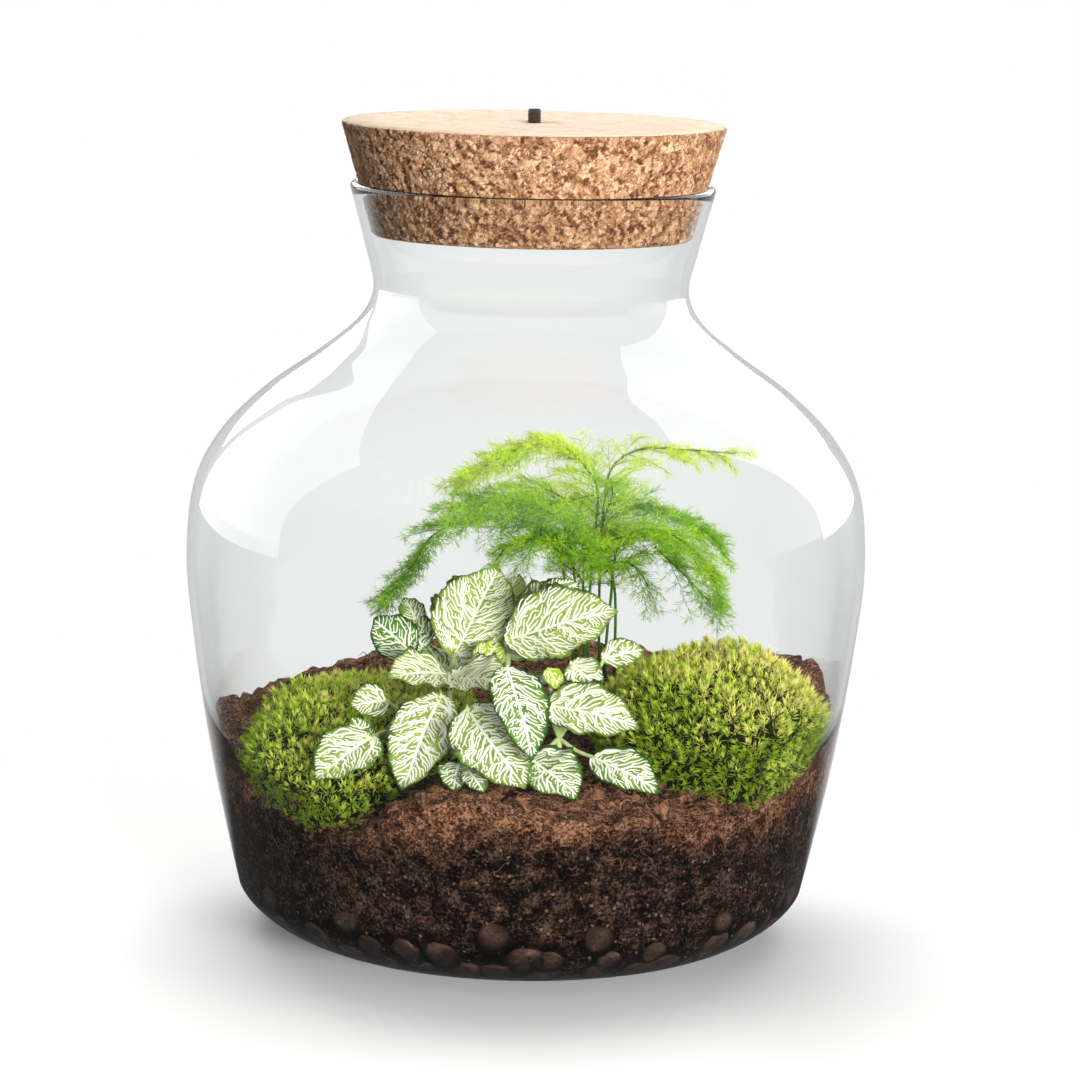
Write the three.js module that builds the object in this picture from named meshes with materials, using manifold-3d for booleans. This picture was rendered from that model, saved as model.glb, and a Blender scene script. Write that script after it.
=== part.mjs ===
// A glass plant terrarium. A wide clear glass jar narrows to a short neck and is closed by a
// tapered cork with a small lamp let into its underside. In the jar lie clay pebbles, potting
// soil, two cushions of moss, a white-veined fittonia and a feathery asparagus fern.
// Millimetres, +Z up, origin in the middle of the jar's underside, -Y towards the front.

import * as THREE from 'three';
import { mergeVertices } from 'three/addons/utils/BufferGeometryUtils.js';
import Module from 'manifold-3d';

const wasm = await Module();
wasm.setup();

// Driving sizes
const GAP = 0.3;
const ROUND = 32;

// Jar: a flat foot, a rounded heel, then the outside of the wall as radius and height
const GLASS_WALL = 2.8;
const GLASS_FOOT_WALL = { thickness: 5.6, upTo: 52, fadesBy: 86 };
const GLASS_FLOOR = 4.4;
const HEEL = { reach: 31.4, steps: 4, fullness: 4 / 3 };
const WALL_OUTSIDE = [
  [104.9, 20.6], [107.3, 30.7], [115.0, 66.9], [122.1, 111.5], [125.0, 143.0], [121.9, 170.0],
  [113.0, 186.8], [96.2, 203.5], [76.4, 217.5], [62.1, 230.0], [57.7, 240.0], [61.0, 256.5],
  [66.6, 277.4],
];
const WALL_STEPS = 12;
const RIM_STEPS = 3;

// Cork: a taper that wedges in the rim
const CORK = { bottom: 261, top: 301.4, bottomRadius: 58.7, topRadius: 70.3, bevel: 0.9 };

// Lamp in the cork
const LAMP = { radius: 32, depth: 13, wall: 2, bezelRadius: 35, bezelThickness: 1.6 };
const LAMP_LENS = { thickness: 2.4 };
const LED_BOARD = { thickness: 1.6, chip: 3, chipHeight: 1, chips: 8, chipRing: 18, chipSunk: 0.5 };
const INLET = { radius: 2.6, bore: 1.1, boreDepth: 9, standsProud: 5, ribs: 3, ribDepth: 0.35 };
const LAMP_ROUND = 24;
const INLET_ROUND = 10;

// Drainage layer of fired clay pebbles, its two outer rows standing out against the glass
const PEBBLES = { perRow: 18, rise: 5.2, segmentsEach: 4, clear: 1.2 };
const PEBBLE_TOP = 25.2;

// Soil: a gentle slope up to the back, with heaps and dips [x, y, height, spread]
const SOIL_BOTTOM = PEBBLE_TOP + GAP;
const SOIL_LEVEL = 76;
const SOIL_SLOPE = { x: 0.02, y: 0.1 };
const SOIL_HEAPS = [
  [-25, -108, 9, 25], [80, -78, -5, 40], [112, 38, 15, 42], [-115, -2, 10, 30],
  [-72, -76, -11, 34], [30, -90, 3, 13], [-20, 100, 3, 40],
];
const SOIL_LUMPS = { height: 1.1, alongX: 6.1, alongY: 5.3, startX: 1.3, startY: -0.4 };
const SOIL_WALL_STEPS = 4;
const SOIL_RINGS = 7;

// Plain holes that the stems stand in
const STEM_HOLE = { depth: 14, above: 20, clearance: 0.36, sides: 6 };
const STEM_CLEAR = 3;

// Moss cushions: centre, half sizes, turn in degrees and rise above the soil
const MOSS = [
  {
    name: 'moss_left', at: [-59, -31], size: [59, 37], turn: 64, rise: 20, lumps: 2.2,
    colour: 0x8fb023,
  },
  {
    name: 'moss_right', at: [70, -30], size: [47, 38], turn: -62, rise: 32, lumps: 1.6,
    colour: 0xa4c22d,
  },
];
const MOSS_TUFT = 1.9;
const MOSS_SEGMENTS = 28;
const MOSS_RINGS = 7;
const MOSS_SUNK = 10;
const MOSS_SIDE = 0.7;
const MOSS_CROWN = 0.85;
const MOSS_SWELL = [{ share: 0.05, waves: 3 }, { share: 0.04, waves: 5 }];
const MOSS_LUMPS = { alongX: 7.3, alongY: 8.1, start: 0.8 };

// Fittonia: each shoot stands in the soil at its root, rises to its joint and carries its
// leaves. A leaf runs from base to tip, and face is the way its upper side looks.
const FITTONIA_STEM = { radius: 1.3, sides: 6, steps: 4, lowBranchAt: 0.6, highBranchWithin: 6 };
const FITTONIA_PETIOLE = { radius: 0.9, sides: 4, intoBlade: 0.06 };
const BLADE = {
  thickness: 0.8, stations: 7, ripple: 0.035, ripples: 3.5, arch: 0.1, dish: 0.1, leastHalf: 0.5,
};
const LEAF_SHAPE = { widestLow: 0.8, fullness: 0.72 };
const UP_FRONT = [0, -0.75, 0.66];
const UP = [0, -0.15, 1];
const UP_BACK = [0, 0.5, 0.8];
const FITTONIA = [
  {
    name: 'fittonia_shoot_1', root: [-27, -29], joint: [-27, -29, 101],
    leaves: [
      { base: [-26.3, -25, 107.9], tip: [-9.5, 1, 136.4], width: 31, face: UP_FRONT },
      { base: [-27.1, -35, 104.2], tip: [-48.4, -50, 105.2], width: 22, face: [0.1, -0.5, 0.85] },
      { base: [-27, -37, 103.1], tip: [-4.8, -54, 104], width: 23, face: [0, -0.55, 0.85] },
      { base: [-39.8, -24, 108.2], tip: [-55.3, -13, 119.6], width: 17, face: [-0.2, -0.8, 0.5] },
      { base: [-36.3, -20, 109.3], tip: [-45.7, -3, 118.4], width: 16, face: UP_FRONT },
      { base: [-31, -20, 99], tip: [-50, 9, 103], width: 21, face: UP },
      { base: [-24, -18, 100], tip: [-28, 20, 102], width: 24, face: UP_BACK },
    ],
  },
  {
    name: 'fittonia_shoot_2', root: [-4, -22], joint: [-6, -26, 110],
    leaves: [
      { base: [-10.4, -17, 114.7], tip: [-2.6, 7, 133.3], width: 17, face: [-0.3, -0.8, 0.5] },
      { base: [-7, -29, 115.3], tip: [34.2, -30, 127], width: 29, face: [-0.1, -0.82, 0.55] },
      { base: [-1.7, -20, 121.2], tip: [19.5, -2, 130.7], width: 19, face: UP_FRONT },
      { base: [-2, -18, 106], tip: [4, 19, 105], width: 22, face: UP_BACK },
      { base: [2, -14, 97], tip: [17, 8, 90], width: 17, face: UP },
    ],
  },
  {
    name: 'fittonia_shoot_3', root: [-40, -52], joint: [-40, -52, 92],
    leaves: [
      { base: [-29.1, -55, 100.4], tip: [-41.8, -82, 68.8], width: 25, face: [-0.15, -0.8, 0.6] },
      { base: [-52.6, -64, 87.4], tip: [-72.3, -80, 73.2], width: 23, face: [-0.1, -0.7, 0.75] },
      { base: [-48.7, -47, 95.8], tip: [-61.8, -51, 94.6], width: 15, face: [-0.2, -0.8, 0.6] },
    ],
  },
  {
    name: 'fittonia_shoot_4', root: [-14, -64], joint: [-14, -64, 92],
    leaves: [
      { base: [-19.9, -68, 98.5], tip: [0.9, -93, 73.5], width: 29, face: [-0.1, -0.8, 0.65] },
      { base: [-6, -66, 112.8], tip: [3.5, -93, 84.3], width: 21, face: [0.2, -0.75, 0.6] },
      { base: [-22.2, -76, 79.5], tip: [-24, -93, 72.5], width: 14, face: UP_FRONT },
    ],
  },
  {
    name: 'fittonia_shoot_5', root: [14, -60], joint: [13, -60, 86],
    leaves: [
      { base: [7.5, -60, 98.5], tip: [41.5, -66, 91.6], width: 23, face: [0, -0.7, 0.72] },
      { base: [1.8, -72, 82.2], tip: [20, -91, 70.6], width: 23, face: [0.1, -0.8, 0.6] },
      { base: [25.3, -67, 81.5], tip: [48.5, -80, 70.8], width: 19, face: [0.15, -0.75, 0.65] },
      { base: [16.6, -44, 110.5], tip: [28.2, -53, 102.2], width: 14, face: UP_FRONT },
      { base: [28.2, -42, 111.5], tip: [43.4, -38, 114.3], width: 12, face: [-0.3, -0.8, 0.5] },
    ],
  },
];

// Asparagus fern: the run of each frond's midrib, first where it leaves the soil
const FROND = {
  stem: 0.8, tipStem: 0.4, sides: 4, steps: 11, bareTo: 0.42, tipAt: 0.985, twigs: 8,
  longTwig: 26, shortTwig: 10, firstSeed: 101, uprightOver: 0.8,
};
const TWIG = {
  radius: 0.5, taper: 0.5, spacing: 8.6, tries: 6, sideways: 0.8, tipSideways: 0.1,
  forwards: 0.7, forwardsOnUpright: 0.3, mostDown: 0.45,
};
const NEEDLE = { length: 6.5, halfWidth: 0.45, lean: 0.75, firstWhorl: 0.7, leastWhorls: 2 };
const RINGS_IN_WHORL = 5;
const GOLDEN_ANGLE = 2.4;
const FRONDS = [
  { run: [[24, 26], [24, 26, 118], [25, 29, 150], [19, 33, 175], [-2, 34, 183], [-24, 30, 169]] },
  { run: [[29, 31], [28, 31, 118], [29, 35, 156], [38, 39, 172], [54, 42, 175], [70, 44, 173]] },
  { run: [[30, 24], [32, 23, 120], [41, 19, 139], [53, 13, 144], [64, 7, 136], [69, 4, 126]] },
  { run: [[19, 23], [16, 22, 122], [1, 20, 142], [-21, 14, 147], [-37, 8, 138], [-46, 5, 127]] },
  { run: [[21, 19], [19, 16, 124], [10, 6, 146], [-4, -6, 156], [-17, -12, 160], [-27, -14, 158]] },
  { run: [[34, 29], [36, 34, 122], [43, 44, 141], [54, 51, 147], [63, 55, 145], [68, 57, 139]] },
  { run: [[23, 33], [21, 41, 122], [15, 54, 143], [4, 68, 150], [-8, 78, 148], [-16, 82, 143]] },
];

const COLOURS = {
  glass: 0xe9f0ee, cork: 0xc49668, lampBody: 0xe8e8e4, ledBoard: 0xf2efe0, lens: 0xfff3c4,
  inlet: 0x3b322b, clay: 0x54382b, soil: 0x3a2419, leaf: 0xb4c58d, fern: 0x77ad2d,
};

// Solids from geometries and back

function weld(geometry) {
  const bare = geometry.index ? geometry.toNonIndexed() : geometry.clone();
  bare.deleteAttribute('normal');
  bare.deleteAttribute('uv');
  const merged = mergeVertices(bare, 1e-4);
  const index = merged.index.array;
  const kept = [];
  for (let i = 0; i < index.length; i += 3) {
    const [a, b, c] = [index[i], index[i + 1], index[i + 2]];
    if (a !== b && b !== c && c !== a) kept.push(a, b, c);
  }
  merged.setIndex(kept);
  return merged;
}

function solid(geometry) {
  const merged = weld(geometry);
  return new wasm.Manifold(new wasm.Mesh({
    numProp: 3,
    vertProperties: new Float32Array(merged.attributes.position.array),
    triVerts: new Uint32Array(merged.index.array),
  }));
}

function join(solids) {
  return solids.reduce((whole, piece) => whole.add(piece));
}

function largestBody(joined) {
  const bodies = joined.decompose();
  return bodies.reduce((best, body) => (body.volume() > best.volume() ? body : best));
}

function geometryOf(manifold) {
  const mesh = manifold.getMesh();
  const geometry = new THREE.BufferGeometry();
  geometry.setAttribute('position', new THREE.BufferAttribute(mesh.vertProperties, 3));
  geometry.setIndex(new THREE.BufferAttribute(mesh.triVerts, 1));
  geometry.computeVertexNormals();
  return geometry;
}

function lathe(profile, segments = ROUND) {
  const points = profile.map(([radius, z]) => new THREE.Vector2(radius, z));
  return new THREE.LatheGeometry(points, segments).rotateX(Math.PI / 2);
}

function vector([x, y, z]) {
  return new THREE.Vector3(x, y, z);
}

// A round bar or cone between two points
function bar(from, to, fromRadius, toRadius, sides) {
  const along = to.clone().sub(from);
  const geometry = new THREE.CylinderGeometry(toRadius, fromRadius, along.length(), sides);
  const turn = new THREE.Quaternion().setFromUnitVectors(
    new THREE.Vector3(0, 1, 0), along.clone().normalize(),
  );
  geometry.applyQuaternion(turn);
  const middle = from.clone().add(to).multiplyScalar(0.5);
  return geometry.translate(middle.x, middle.y, middle.z);
}

// A round bar along a curve, its radius given by the share of the way
function sweep(curve, radiusAt, sides, steps) {
  const geometry = new THREE.CylinderGeometry(1, 1, 1, sides, steps);
  const frames = curve.computeFrenetFrames(steps, false);
  const position = geometry.attributes.position;
  for (let i = 0; i < position.count; i += 1) {
    const share = position.getY(i) + 0.5;
    const step = Math.round(share * steps);
    const point = curve.getPointAt(share)
      .addScaledVector(frames.normals[step], position.getX(i) * radiusAt(share))
      .addScaledVector(frames.binormals[step], -position.getZ(i) * radiusAt(share));
    position.setXYZ(i, point.x, point.y, point.z);
  }
  return geometry;
}

// Repeatable random numbers from 0 to 1
function seeded(seed) {
  let state = seed;
  return () => {
    state = (state * 1664525 + 1013904223) % 4294967296;
    return state / 4294967296;
  };
}

// Jar

const wallCurve = new THREE.CatmullRomCurve3(
  WALL_OUTSIDE.map(([radius, z]) => new THREE.Vector3(radius, 0, z)), false, 'centripetal',
);

// The wall's outside, moved inwards square to itself, and further in where the wall is thicker
function wallProfile(inset) {
  const { thickness, upTo, fadesBy } = GLASS_FOOT_WALL;
  const profile = [];
  for (let i = 0; i <= WALL_STEPS; i += 1) {
    const point = wallCurve.getPoint(i / WALL_STEPS);
    const along = wallCurve.getTangent(i / WALL_STEPS);
    const thicker = inset > 0
      ? (thickness - GLASS_WALL) * (1 - THREE.MathUtils.smoothstep(point.z, upTo, fadesBy))
      : 0;
    const shift = inset + thicker;
    profile.push([point.x - shift * along.z, point.z + shift * along.x]);
  }
  return profile;
}

function heelProfile(inset, floor) {
  const profile = [];
  const [endRadius, endZ] = wallProfile(inset)[0];
  const foot = endRadius - HEEL.reach;
  for (let i = 0; i < HEEL.steps; i += 1) {
    const angle = (Math.PI / 2) * (i / HEEL.steps);
    const out = HEEL.reach * Math.sin(angle) ** HEEL.fullness;
    const up = (endZ - floor) * (1 - Math.cos(angle) ** HEEL.fullness);
    profile.push([foot + out, floor + up]);
  }
  return profile;
}

function innerRadius(z, inset = GLASS_WALL) {
  const profile = [...heelProfile(inset, GLASS_FLOOR), ...wallProfile(inset)];
  const next = profile.findIndex(([, height]) => height > z);
  if (next < 1) return profile[0][0];
  const [r0, z0] = profile[next - 1];
  const [r1, z1] = profile[next];
  return r0 + ((r1 - r0) * (z - z0)) / (z1 - z0);
}

function jarGeometry() {
  const outside = [...heelProfile(0, 0), ...wallProfile(0)];
  const inside = [...heelProfile(GLASS_WALL, GLASS_FLOOR), ...wallProfile(GLASS_WALL)];
  const [outerRadius, outerZ] = outside[outside.length - 1];
  const [insideRadius, insideZ] = inside[inside.length - 1];
  const middle = [(outerRadius + insideRadius) / 2, (outerZ + insideZ) / 2];
  const half = [(outerRadius - insideRadius) / 2, (outerZ - insideZ) / 2];
  const rim = [];
  for (let i = 1; i < RIM_STEPS; i += 1) {
    const angle = Math.PI * (i / RIM_STEPS);
    const [c, s] = [Math.cos(angle), Math.sin(angle)];
    rim.push([middle[0] + c * half[0] - s * half[1], middle[1] + c * half[1] + s * half[0]]);
  }
  return lathe([[0, 0], ...outside, ...rim, ...inside.reverse(), [0, GLASS_FLOOR]]);
}

// Cork and lamp

function corkGeometry() {
  const { bottom, top, bottomRadius, topRadius, bevel } = CORK;
  const recess = LAMP.radius + GAP;
  const channel = INLET.radius + GAP;
  const ceiling = bottom + LAMP.depth + GAP;
  return lathe([
    [channel, ceiling], [recess, ceiling], [recess, bottom], [bottomRadius - bevel, bottom],
    [bottomRadius, bottom + bevel], [topRadius, top - bevel], [topRadius - bevel, top],
    [channel, top], [channel, ceiling],
  ]);
}

const LAMP_BOTTOM = CORK.bottom - GAP - LAMP.bezelThickness;

function lampHousingGeometry() {
  const { radius, depth, wall, bezelRadius } = LAMP;
  const top = CORK.bottom + depth;
  const under = CORK.bottom - GAP;
  return lathe([
    [0, top - wall], [radius - wall, top - wall], [radius - wall, LAMP_BOTTOM],
    [bezelRadius, LAMP_BOTTOM], [bezelRadius, under], [radius, under], [radius, top], [0, top],
  ], LAMP_ROUND);
}

function lampLensGeometry() {
  const radius = LAMP.radius - LAMP.wall - GAP;
  const bottom = LAMP_BOTTOM;
  return lathe([
    [0, bottom], [radius, bottom], [radius, bottom + LAMP_LENS.thickness],
    [0, bottom + LAMP_LENS.thickness],
  ], LAMP_ROUND);
}

function ledBoard() {
  const radius = LAMP.radius - LAMP.wall - GAP;
  const top = CORK.bottom + LAMP.depth - LAMP.wall - GAP;
  const under = top - LED_BOARD.thickness;
  const sunk = LED_BOARD.chipSunk;
  const chips = [];
  for (let i = 0; i < LED_BOARD.chips; i += 1) {
    const angle = (2 * Math.PI * i) / LED_BOARD.chips;
    const height = LED_BOARD.chipHeight + sunk;
    const chip = new THREE.BoxGeometry(LED_BOARD.chip, LED_BOARD.chip, height);
    chip.rotateZ(angle);
    chip.translate(
      LED_BOARD.chipRing * Math.cos(angle), LED_BOARD.chipRing * Math.sin(angle),
      under + sunk - height / 2,
    );
    chips.push(solid(chip));
  }
  const board = lathe([[0, under], [radius, under], [radius, top], [0, top]], LAMP_ROUND);
  return join([solid(board), ...chips]);
}

// A sleeve from the lamp through the cork, ribbed where it stands out on top, with a blind
// bore where the lead would enter
function inletGeometry() {
  const bottom = CORK.bottom + LAMP.depth + GAP;
  const top = CORK.top + INLET.standsProud;
  const rib = INLET.standsProud / (2 * INLET.ribs);
  const outside = [[0, bottom], [INLET.radius, bottom], [INLET.radius, CORK.top]];
  for (let i = 0; i < INLET.ribs; i += 1) {
    const z = CORK.top + 2 * rib * i;
    outside.push([INLET.radius - INLET.ribDepth, z + rib / 2], [INLET.radius, z + rib * 1.5]);
  }
  return lathe([
    ...outside, [INLET.radius, top], [INLET.bore, top], [INLET.bore, top - INLET.boreDepth],
    [0, top - INLET.boreDepth],
  ], INLET_ROUND);
}

// Pebbles: a bed whose side swells into two staggered rows of round stones

function pebbleGeometry() {
  const levels = [0, 0.12, 0.28, 0.5, 0.72, 0.88, 1];
  const profile = [[0, 0], ...levels.map((level) => [1, level]), [0, 1]];
  const bottom = GLASS_FLOOR + GAP;
  return shapedLathe(profile, PEBBLES.perRow * PEBBLES.segmentsEach, (share, angle, level) => {
    const row = level < 0.5 ? 0 : 1;
    const turn = (angle * PEBBLES.perRow) / 2 + row * (Math.PI / 2);
    const swell = Math.sin(2 * Math.PI * level) ** 2 * Math.cos(turn) ** 2;
    const z = bottom + (PEBBLE_TOP - bottom) * level;
    const radius = share * (innerRadius(z) - PEBBLES.clear - PEBBLES.rise * (1 - swell));
    return { x: radius * Math.cos(angle), y: radius * Math.sin(angle), z };
  });
}

// Soil

function soilHeight(x, y) {
  let height = SOIL_LEVEL + SOIL_SLOPE.x * x + SOIL_SLOPE.y * y;
  for (const [atX, atY, rise, spread] of SOIL_HEAPS) {
    const distance = Math.hypot(x - atX, y - atY) / spread;
    height += rise * Math.exp(-distance * distance);
  }
  const { alongX, alongY, startX, startY } = SOIL_LUMPS;
  return height + SOIL_LUMPS.height * Math.sin(x / alongX + startX) * Math.cos(y / alongY + startY);
}

function soilEdge(angle) {
  let z = SOIL_LEVEL;
  let radius = 0;
  for (let i = 0; i < 4; i += 1) {
    radius = innerRadius(z, GLASS_WALL + GAP);
    z = soilHeight(radius * Math.cos(angle), radius * Math.sin(angle));
  }
  return { radius, z };
}

// A turned blank whose radius and height run from 0 to 1, shaped by where each point lies
function shapedLathe(profile, segments, place) {
  const geometry = lathe(profile, segments);
  const position = geometry.attributes.position;
  for (let i = 0; i < position.count; i += 1) {
    const [x, y, z] = [position.getX(i), position.getY(i), position.getZ(i)];
    const placed = place(Math.hypot(x, y), Math.atan2(y, x), z);
    position.setXYZ(i, placed.x, placed.y, placed.z);
  }
  return geometry;
}

function soilGeometry() {
  const profile = [[0, 0]];
  for (let i = 0; i <= SOIL_WALL_STEPS; i += 1) profile.push([1, i / SOIL_WALL_STEPS]);
  for (let i = SOIL_RINGS - 1; i >= 0; i -= 1) profile.push([i / SOIL_RINGS, 1]);
  return shapedLathe(profile, ROUND, (share, angle, rise) => {
    const edge = soilEdge(angle);
    if (rise > 0.999) {
      const [x, y] = [share * edge.radius * Math.cos(angle), share * edge.radius * Math.sin(angle)];
      return { x, y, z: share > 0.999 ? edge.z : soilHeight(x, y) };
    }
    const z = SOIL_BOTTOM + rise * (edge.z - SOIL_BOTTOM);
    const radius = share * innerRadius(z, GLASS_WALL + GAP);
    return { x: radius * Math.cos(angle), y: radius * Math.sin(angle), z };
  });
}

function holeBottom([x, y]) {
  return soilHeight(x, y) - STEM_HOLE.depth;
}

function stemHole([x, y], stemRadius) {
  const top = new THREE.Vector3(x, y, soilHeight(x, y) + STEM_HOLE.above);
  const bottom = new THREE.Vector3(x, y, holeBottom([x, y]));
  const radius = stemRadius + STEM_HOLE.clearance;
  return solid(bar(bottom, top, radius, radius, STEM_HOLE.sides));
}

// Moss: a steep-sided cushion whose surface stands up in tufts

function mossGeometry({ at, size, turn, rise, lumps }) {
  const profile = [[0, -1], [1, -1], [1, 0]];
  for (let i = 1; i <= MOSS_RINGS; i += 1) {
    const angle = (Math.PI / 2) * (i / MOSS_RINGS);
    const reach = i === MOSS_RINGS ? 0 : Math.cos(angle) ** MOSS_SIDE;
    profile.push([reach, Math.sin(angle) ** MOSS_CROWN]);
  }
  const turned = THREE.MathUtils.degToRad(turn);
  const step = (2 * Math.PI) / MOSS_SEGMENTS;
  return shapedLathe(profile, MOSS_SEGMENTS, (share, angle, height) => {
    const ring = Math.round(share * MOSS_RINGS * 2);
    const stands = height > 0 && (Math.round(angle / step) + ring) % 2 === 0;
    const tuft = stands ? MOSS_TUFT : 0;
    const [slow, quick] = MOSS_SWELL;
    const swell = 1 + slow.share * Math.sin(slow.waves * angle + at[0])
      + quick.share * Math.cos(quick.waves * angle);
    const along = (size[0] * swell + tuft) * share * Math.cos(angle);
    const across = (size[1] * swell + tuft) * share * Math.sin(angle);
    let x = at[0] + along * Math.cos(turned) - across * Math.sin(turned);
    let y = at[1] + along * Math.sin(turned) + across * Math.cos(turned);
    const ground = soilHeight(x, y);
    const lumpy = lumps * Math.sin(x / MOSS_LUMPS.alongX)
      * Math.sin(y / MOSS_LUMPS.alongY + MOSS_LUMPS.start);
    const z = height < 0 ? ground - MOSS_SUNK : ground + height * (rise + lumpy) + tuft * height;
    const limit = innerRadius(z, GLASS_WALL + 3 * GAP) - GAP;
    const reach = Math.hypot(x, y);
    if (reach > limit) {
      x *= limit / reach;
      y *= limit / reach;
    }
    return { x, y, z };
  });
}

// Fittonia

// The half width of a leaf at a share of its length, 1 at the widest
function leafOutline(share) {
  const { widestLow, fullness } = LEAF_SHAPE;
  return Math.max(Math.sin(Math.PI * share ** widestLow), 0) ** fullness;
}

// A blade: an arched, dished and rippled sheet with the same triangles on both faces
function bladeGeometry({ base, tip, width, face }, index) {
  const [from, to] = [vector(base), vector(tip)];
  const axis = to.clone().sub(from);
  const length = axis.length();
  axis.normalize();
  const normal = vector(face);
  normal.addScaledVector(axis, -normal.dot(axis)).normalize();
  const side = new THREE.Vector3().crossVectors(axis, normal);
  const across = [-1, 0, 1];
  const [upper, lower] = [[], []];
  for (let i = 0; i <= BLADE.stations; i += 1) {
    const share = i / BLADE.stations;
    const half = Math.max((width / 2) * leafOutline(share), BLADE.leastHalf);
    for (const t of across) {
      const ripple = BLADE.ripple * width * Math.sin(BLADE.ripples * 2 * Math.PI * share + index);
      const lift = BLADE.arch * length * Math.sin(Math.PI * share)
        + BLADE.dish * half * (2 * t * t - 1) + ripple * t;
      const point = from.clone().addScaledVector(axis, share * length)
        .addScaledVector(side, t * half).addScaledVector(normal, lift);
      upper.push(point.clone().addScaledVector(normal, BLADE.thickness / 2));
      lower.push(point.addScaledVector(normal, -BLADE.thickness / 2));
    }
  }
  return sheetGeometry(upper, lower, BLADE.stations, across.length);
}

// A closed sheet from two like grids of points
function sheetGeometry(upper, lower, rows, columns) {
  const points = [...upper, ...lower];
  const under = upper.length;
  const index = [];
  const cell = (a, b, c, d) => index.push(a, b, c, a, c, d);
  for (let i = 0; i < rows; i += 1) {
    for (let j = 0; j < columns - 1; j += 1) {
      const a = i * columns + j;
      const [b, c, d] = [a + 1, a + columns + 1, a + columns];
      cell(a, b, c, d);
      index.push(under + a, under + c, under + b, under + a, under + d, under + c);
    }
    const [left, right] = [i * columns, (i + 1) * columns - 1];
    cell(left + columns, under + left + columns, under + left, left);
    cell(right, under + right, under + right + columns, right + columns);
  }
  for (let j = 0; j < columns - 1; j += 1) {
    const last = rows * columns + j;
    cell(j, under + j, under + j + 1, j + 1);
    cell(last + 1, under + last + 1, under + last, last);
  }
  const geometry = new THREE.BufferGeometry();
  geometry.setAttribute('position', new THREE.Float32BufferAttribute(
    points.flatMap((p) => [p.x, p.y, p.z]), 3,
  ));
  geometry.setIndex(index);
  return geometry;
}

function fittoniaShoot({ root, joint, leaves }) {
  const foot = new THREE.Vector3(root[0], root[1], holeBottom(root) + GAP);
  const clear = new THREE.Vector3(root[0], root[1], soilHeight(root[0], root[1]) + STEM_CLEAR);
  const top = vector(joint);
  const stem = new THREE.CatmullRomCurve3([foot, clear, top]);
  const { radius, sides, steps, lowBranchAt, highBranchWithin } = FITTONIA_STEM;
  const pieces = [sweep(stem, () => radius, sides, steps)];
  leaves.forEach((leaf, index) => {
    const base = vector(leaf.base);
    const inBlade = base.clone().lerp(vector(leaf.tip), FITTONIA_PETIOLE.intoBlade);
    const isHigh = base.z > top.z - highBranchWithin;
    const from = isHigh ? top : clear.clone().lerp(top, lowBranchAt);
    const { radius: thickness } = FITTONIA_PETIOLE;
    pieces.push(bar(from, inBlade, thickness, thickness, FITTONIA_PETIOLE.sides));
    pieces.push(bladeGeometry(leaf, index));
  });
  return largestBody(join(pieces.map(solid)));
}

// Asparagus fern: a slim midrib with twigs to both sides and needles round the twigs

function overlaps(piece, others, owner) {
  const box = piece.boundingBox();
  return others.some((other) => {
    if (other.owner === owner) return false;
    const [low, high] = [other.box.min, other.box.max];
    for (let k = 0; k < 3; k += 1) {
      if (box.min[k] > high[k] || box.max[k] < low[k]) return false;
    }
    return !piece.intersect(other.solid).isEmpty();
  });
}

// A pointed three-sided twig. At each whorl one corner after another is pulled out to a needle.
function twigGeometry(from, heading, length, spin, extra = 0) {
  const whorls = Math.max(NEEDLE.leastWhorls, Math.round(length / TWIG.spacing));
  const half = (NEEDLE.halfWidth + extra) / length;
  const shares = [0];
  for (let k = 0; k < whorls; k += 1) {
    const middle = (k + NEEDLE.firstWhorl) / whorls;
    for (let step = -2; step <= 2; step += 1) shares.push(middle + step * half);
  }
  shares.push(1);
  const rings = shares.length - 1;
  const geometry = new THREE.CylinderGeometry(1, 1, 1, 3, rings);
  const turn = new THREE.Quaternion().setFromUnitVectors(new THREE.Vector3(0, 1, 0), heading);
  const position = geometry.attributes.position;
  const reach = NEEDLE.length + extra;
  for (let i = 0; i < position.count; i += 1) {
    const ring = Math.round((position.getY(i) + 0.5) * rings);
    const stepInWhorl = (ring - 1) % RINGS_IN_WHORL;
    const corner = (i % 4) % 3;
    const isNeedle = ring > 0 && ring < rings && stepInWhorl + corner === 3 && stepInWhorl < 4;
    const thickness = ring === rings ? 0 : (TWIG.radius + extra) * (1 - TWIG.taper * shares[ring]);
    const radius = isNeedle ? reach * NEEDLE.lean : thickness;
    const forward = isNeedle ? reach * Math.sqrt(1 - NEEDLE.lean ** 2) : 0;
    const point = new THREE.Vector3(position.getX(i) * radius, 0, position.getZ(i) * radius)
      .applyAxisAngle(new THREE.Vector3(0, 1, 0), spin)
      .setY(shares[ring] * length + forward)
      .applyQuaternion(turn).add(from);
    position.setXYZ(i, point.x, point.y, point.z);
  }
  return geometry;
}

function frondMidrib({ run }) {
  const [x, y] = run[0];
  const foot = new THREE.Vector3(x, y, holeBottom([x, y]) + GAP);
  const clear = new THREE.Vector3(x, y, soilHeight(x, y) + STEM_CLEAR);
  return new THREE.CatmullRomCurve3([foot, clear, ...run.slice(1).map(vector)]);
}

function midribSolid(midrib) {
  const radiusAt = (share) => FROND.stem + (FROND.tipStem - FROND.stem) * share;
  return solid(sweep(midrib, radiusAt, FROND.sides, FROND.steps));
}

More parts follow.
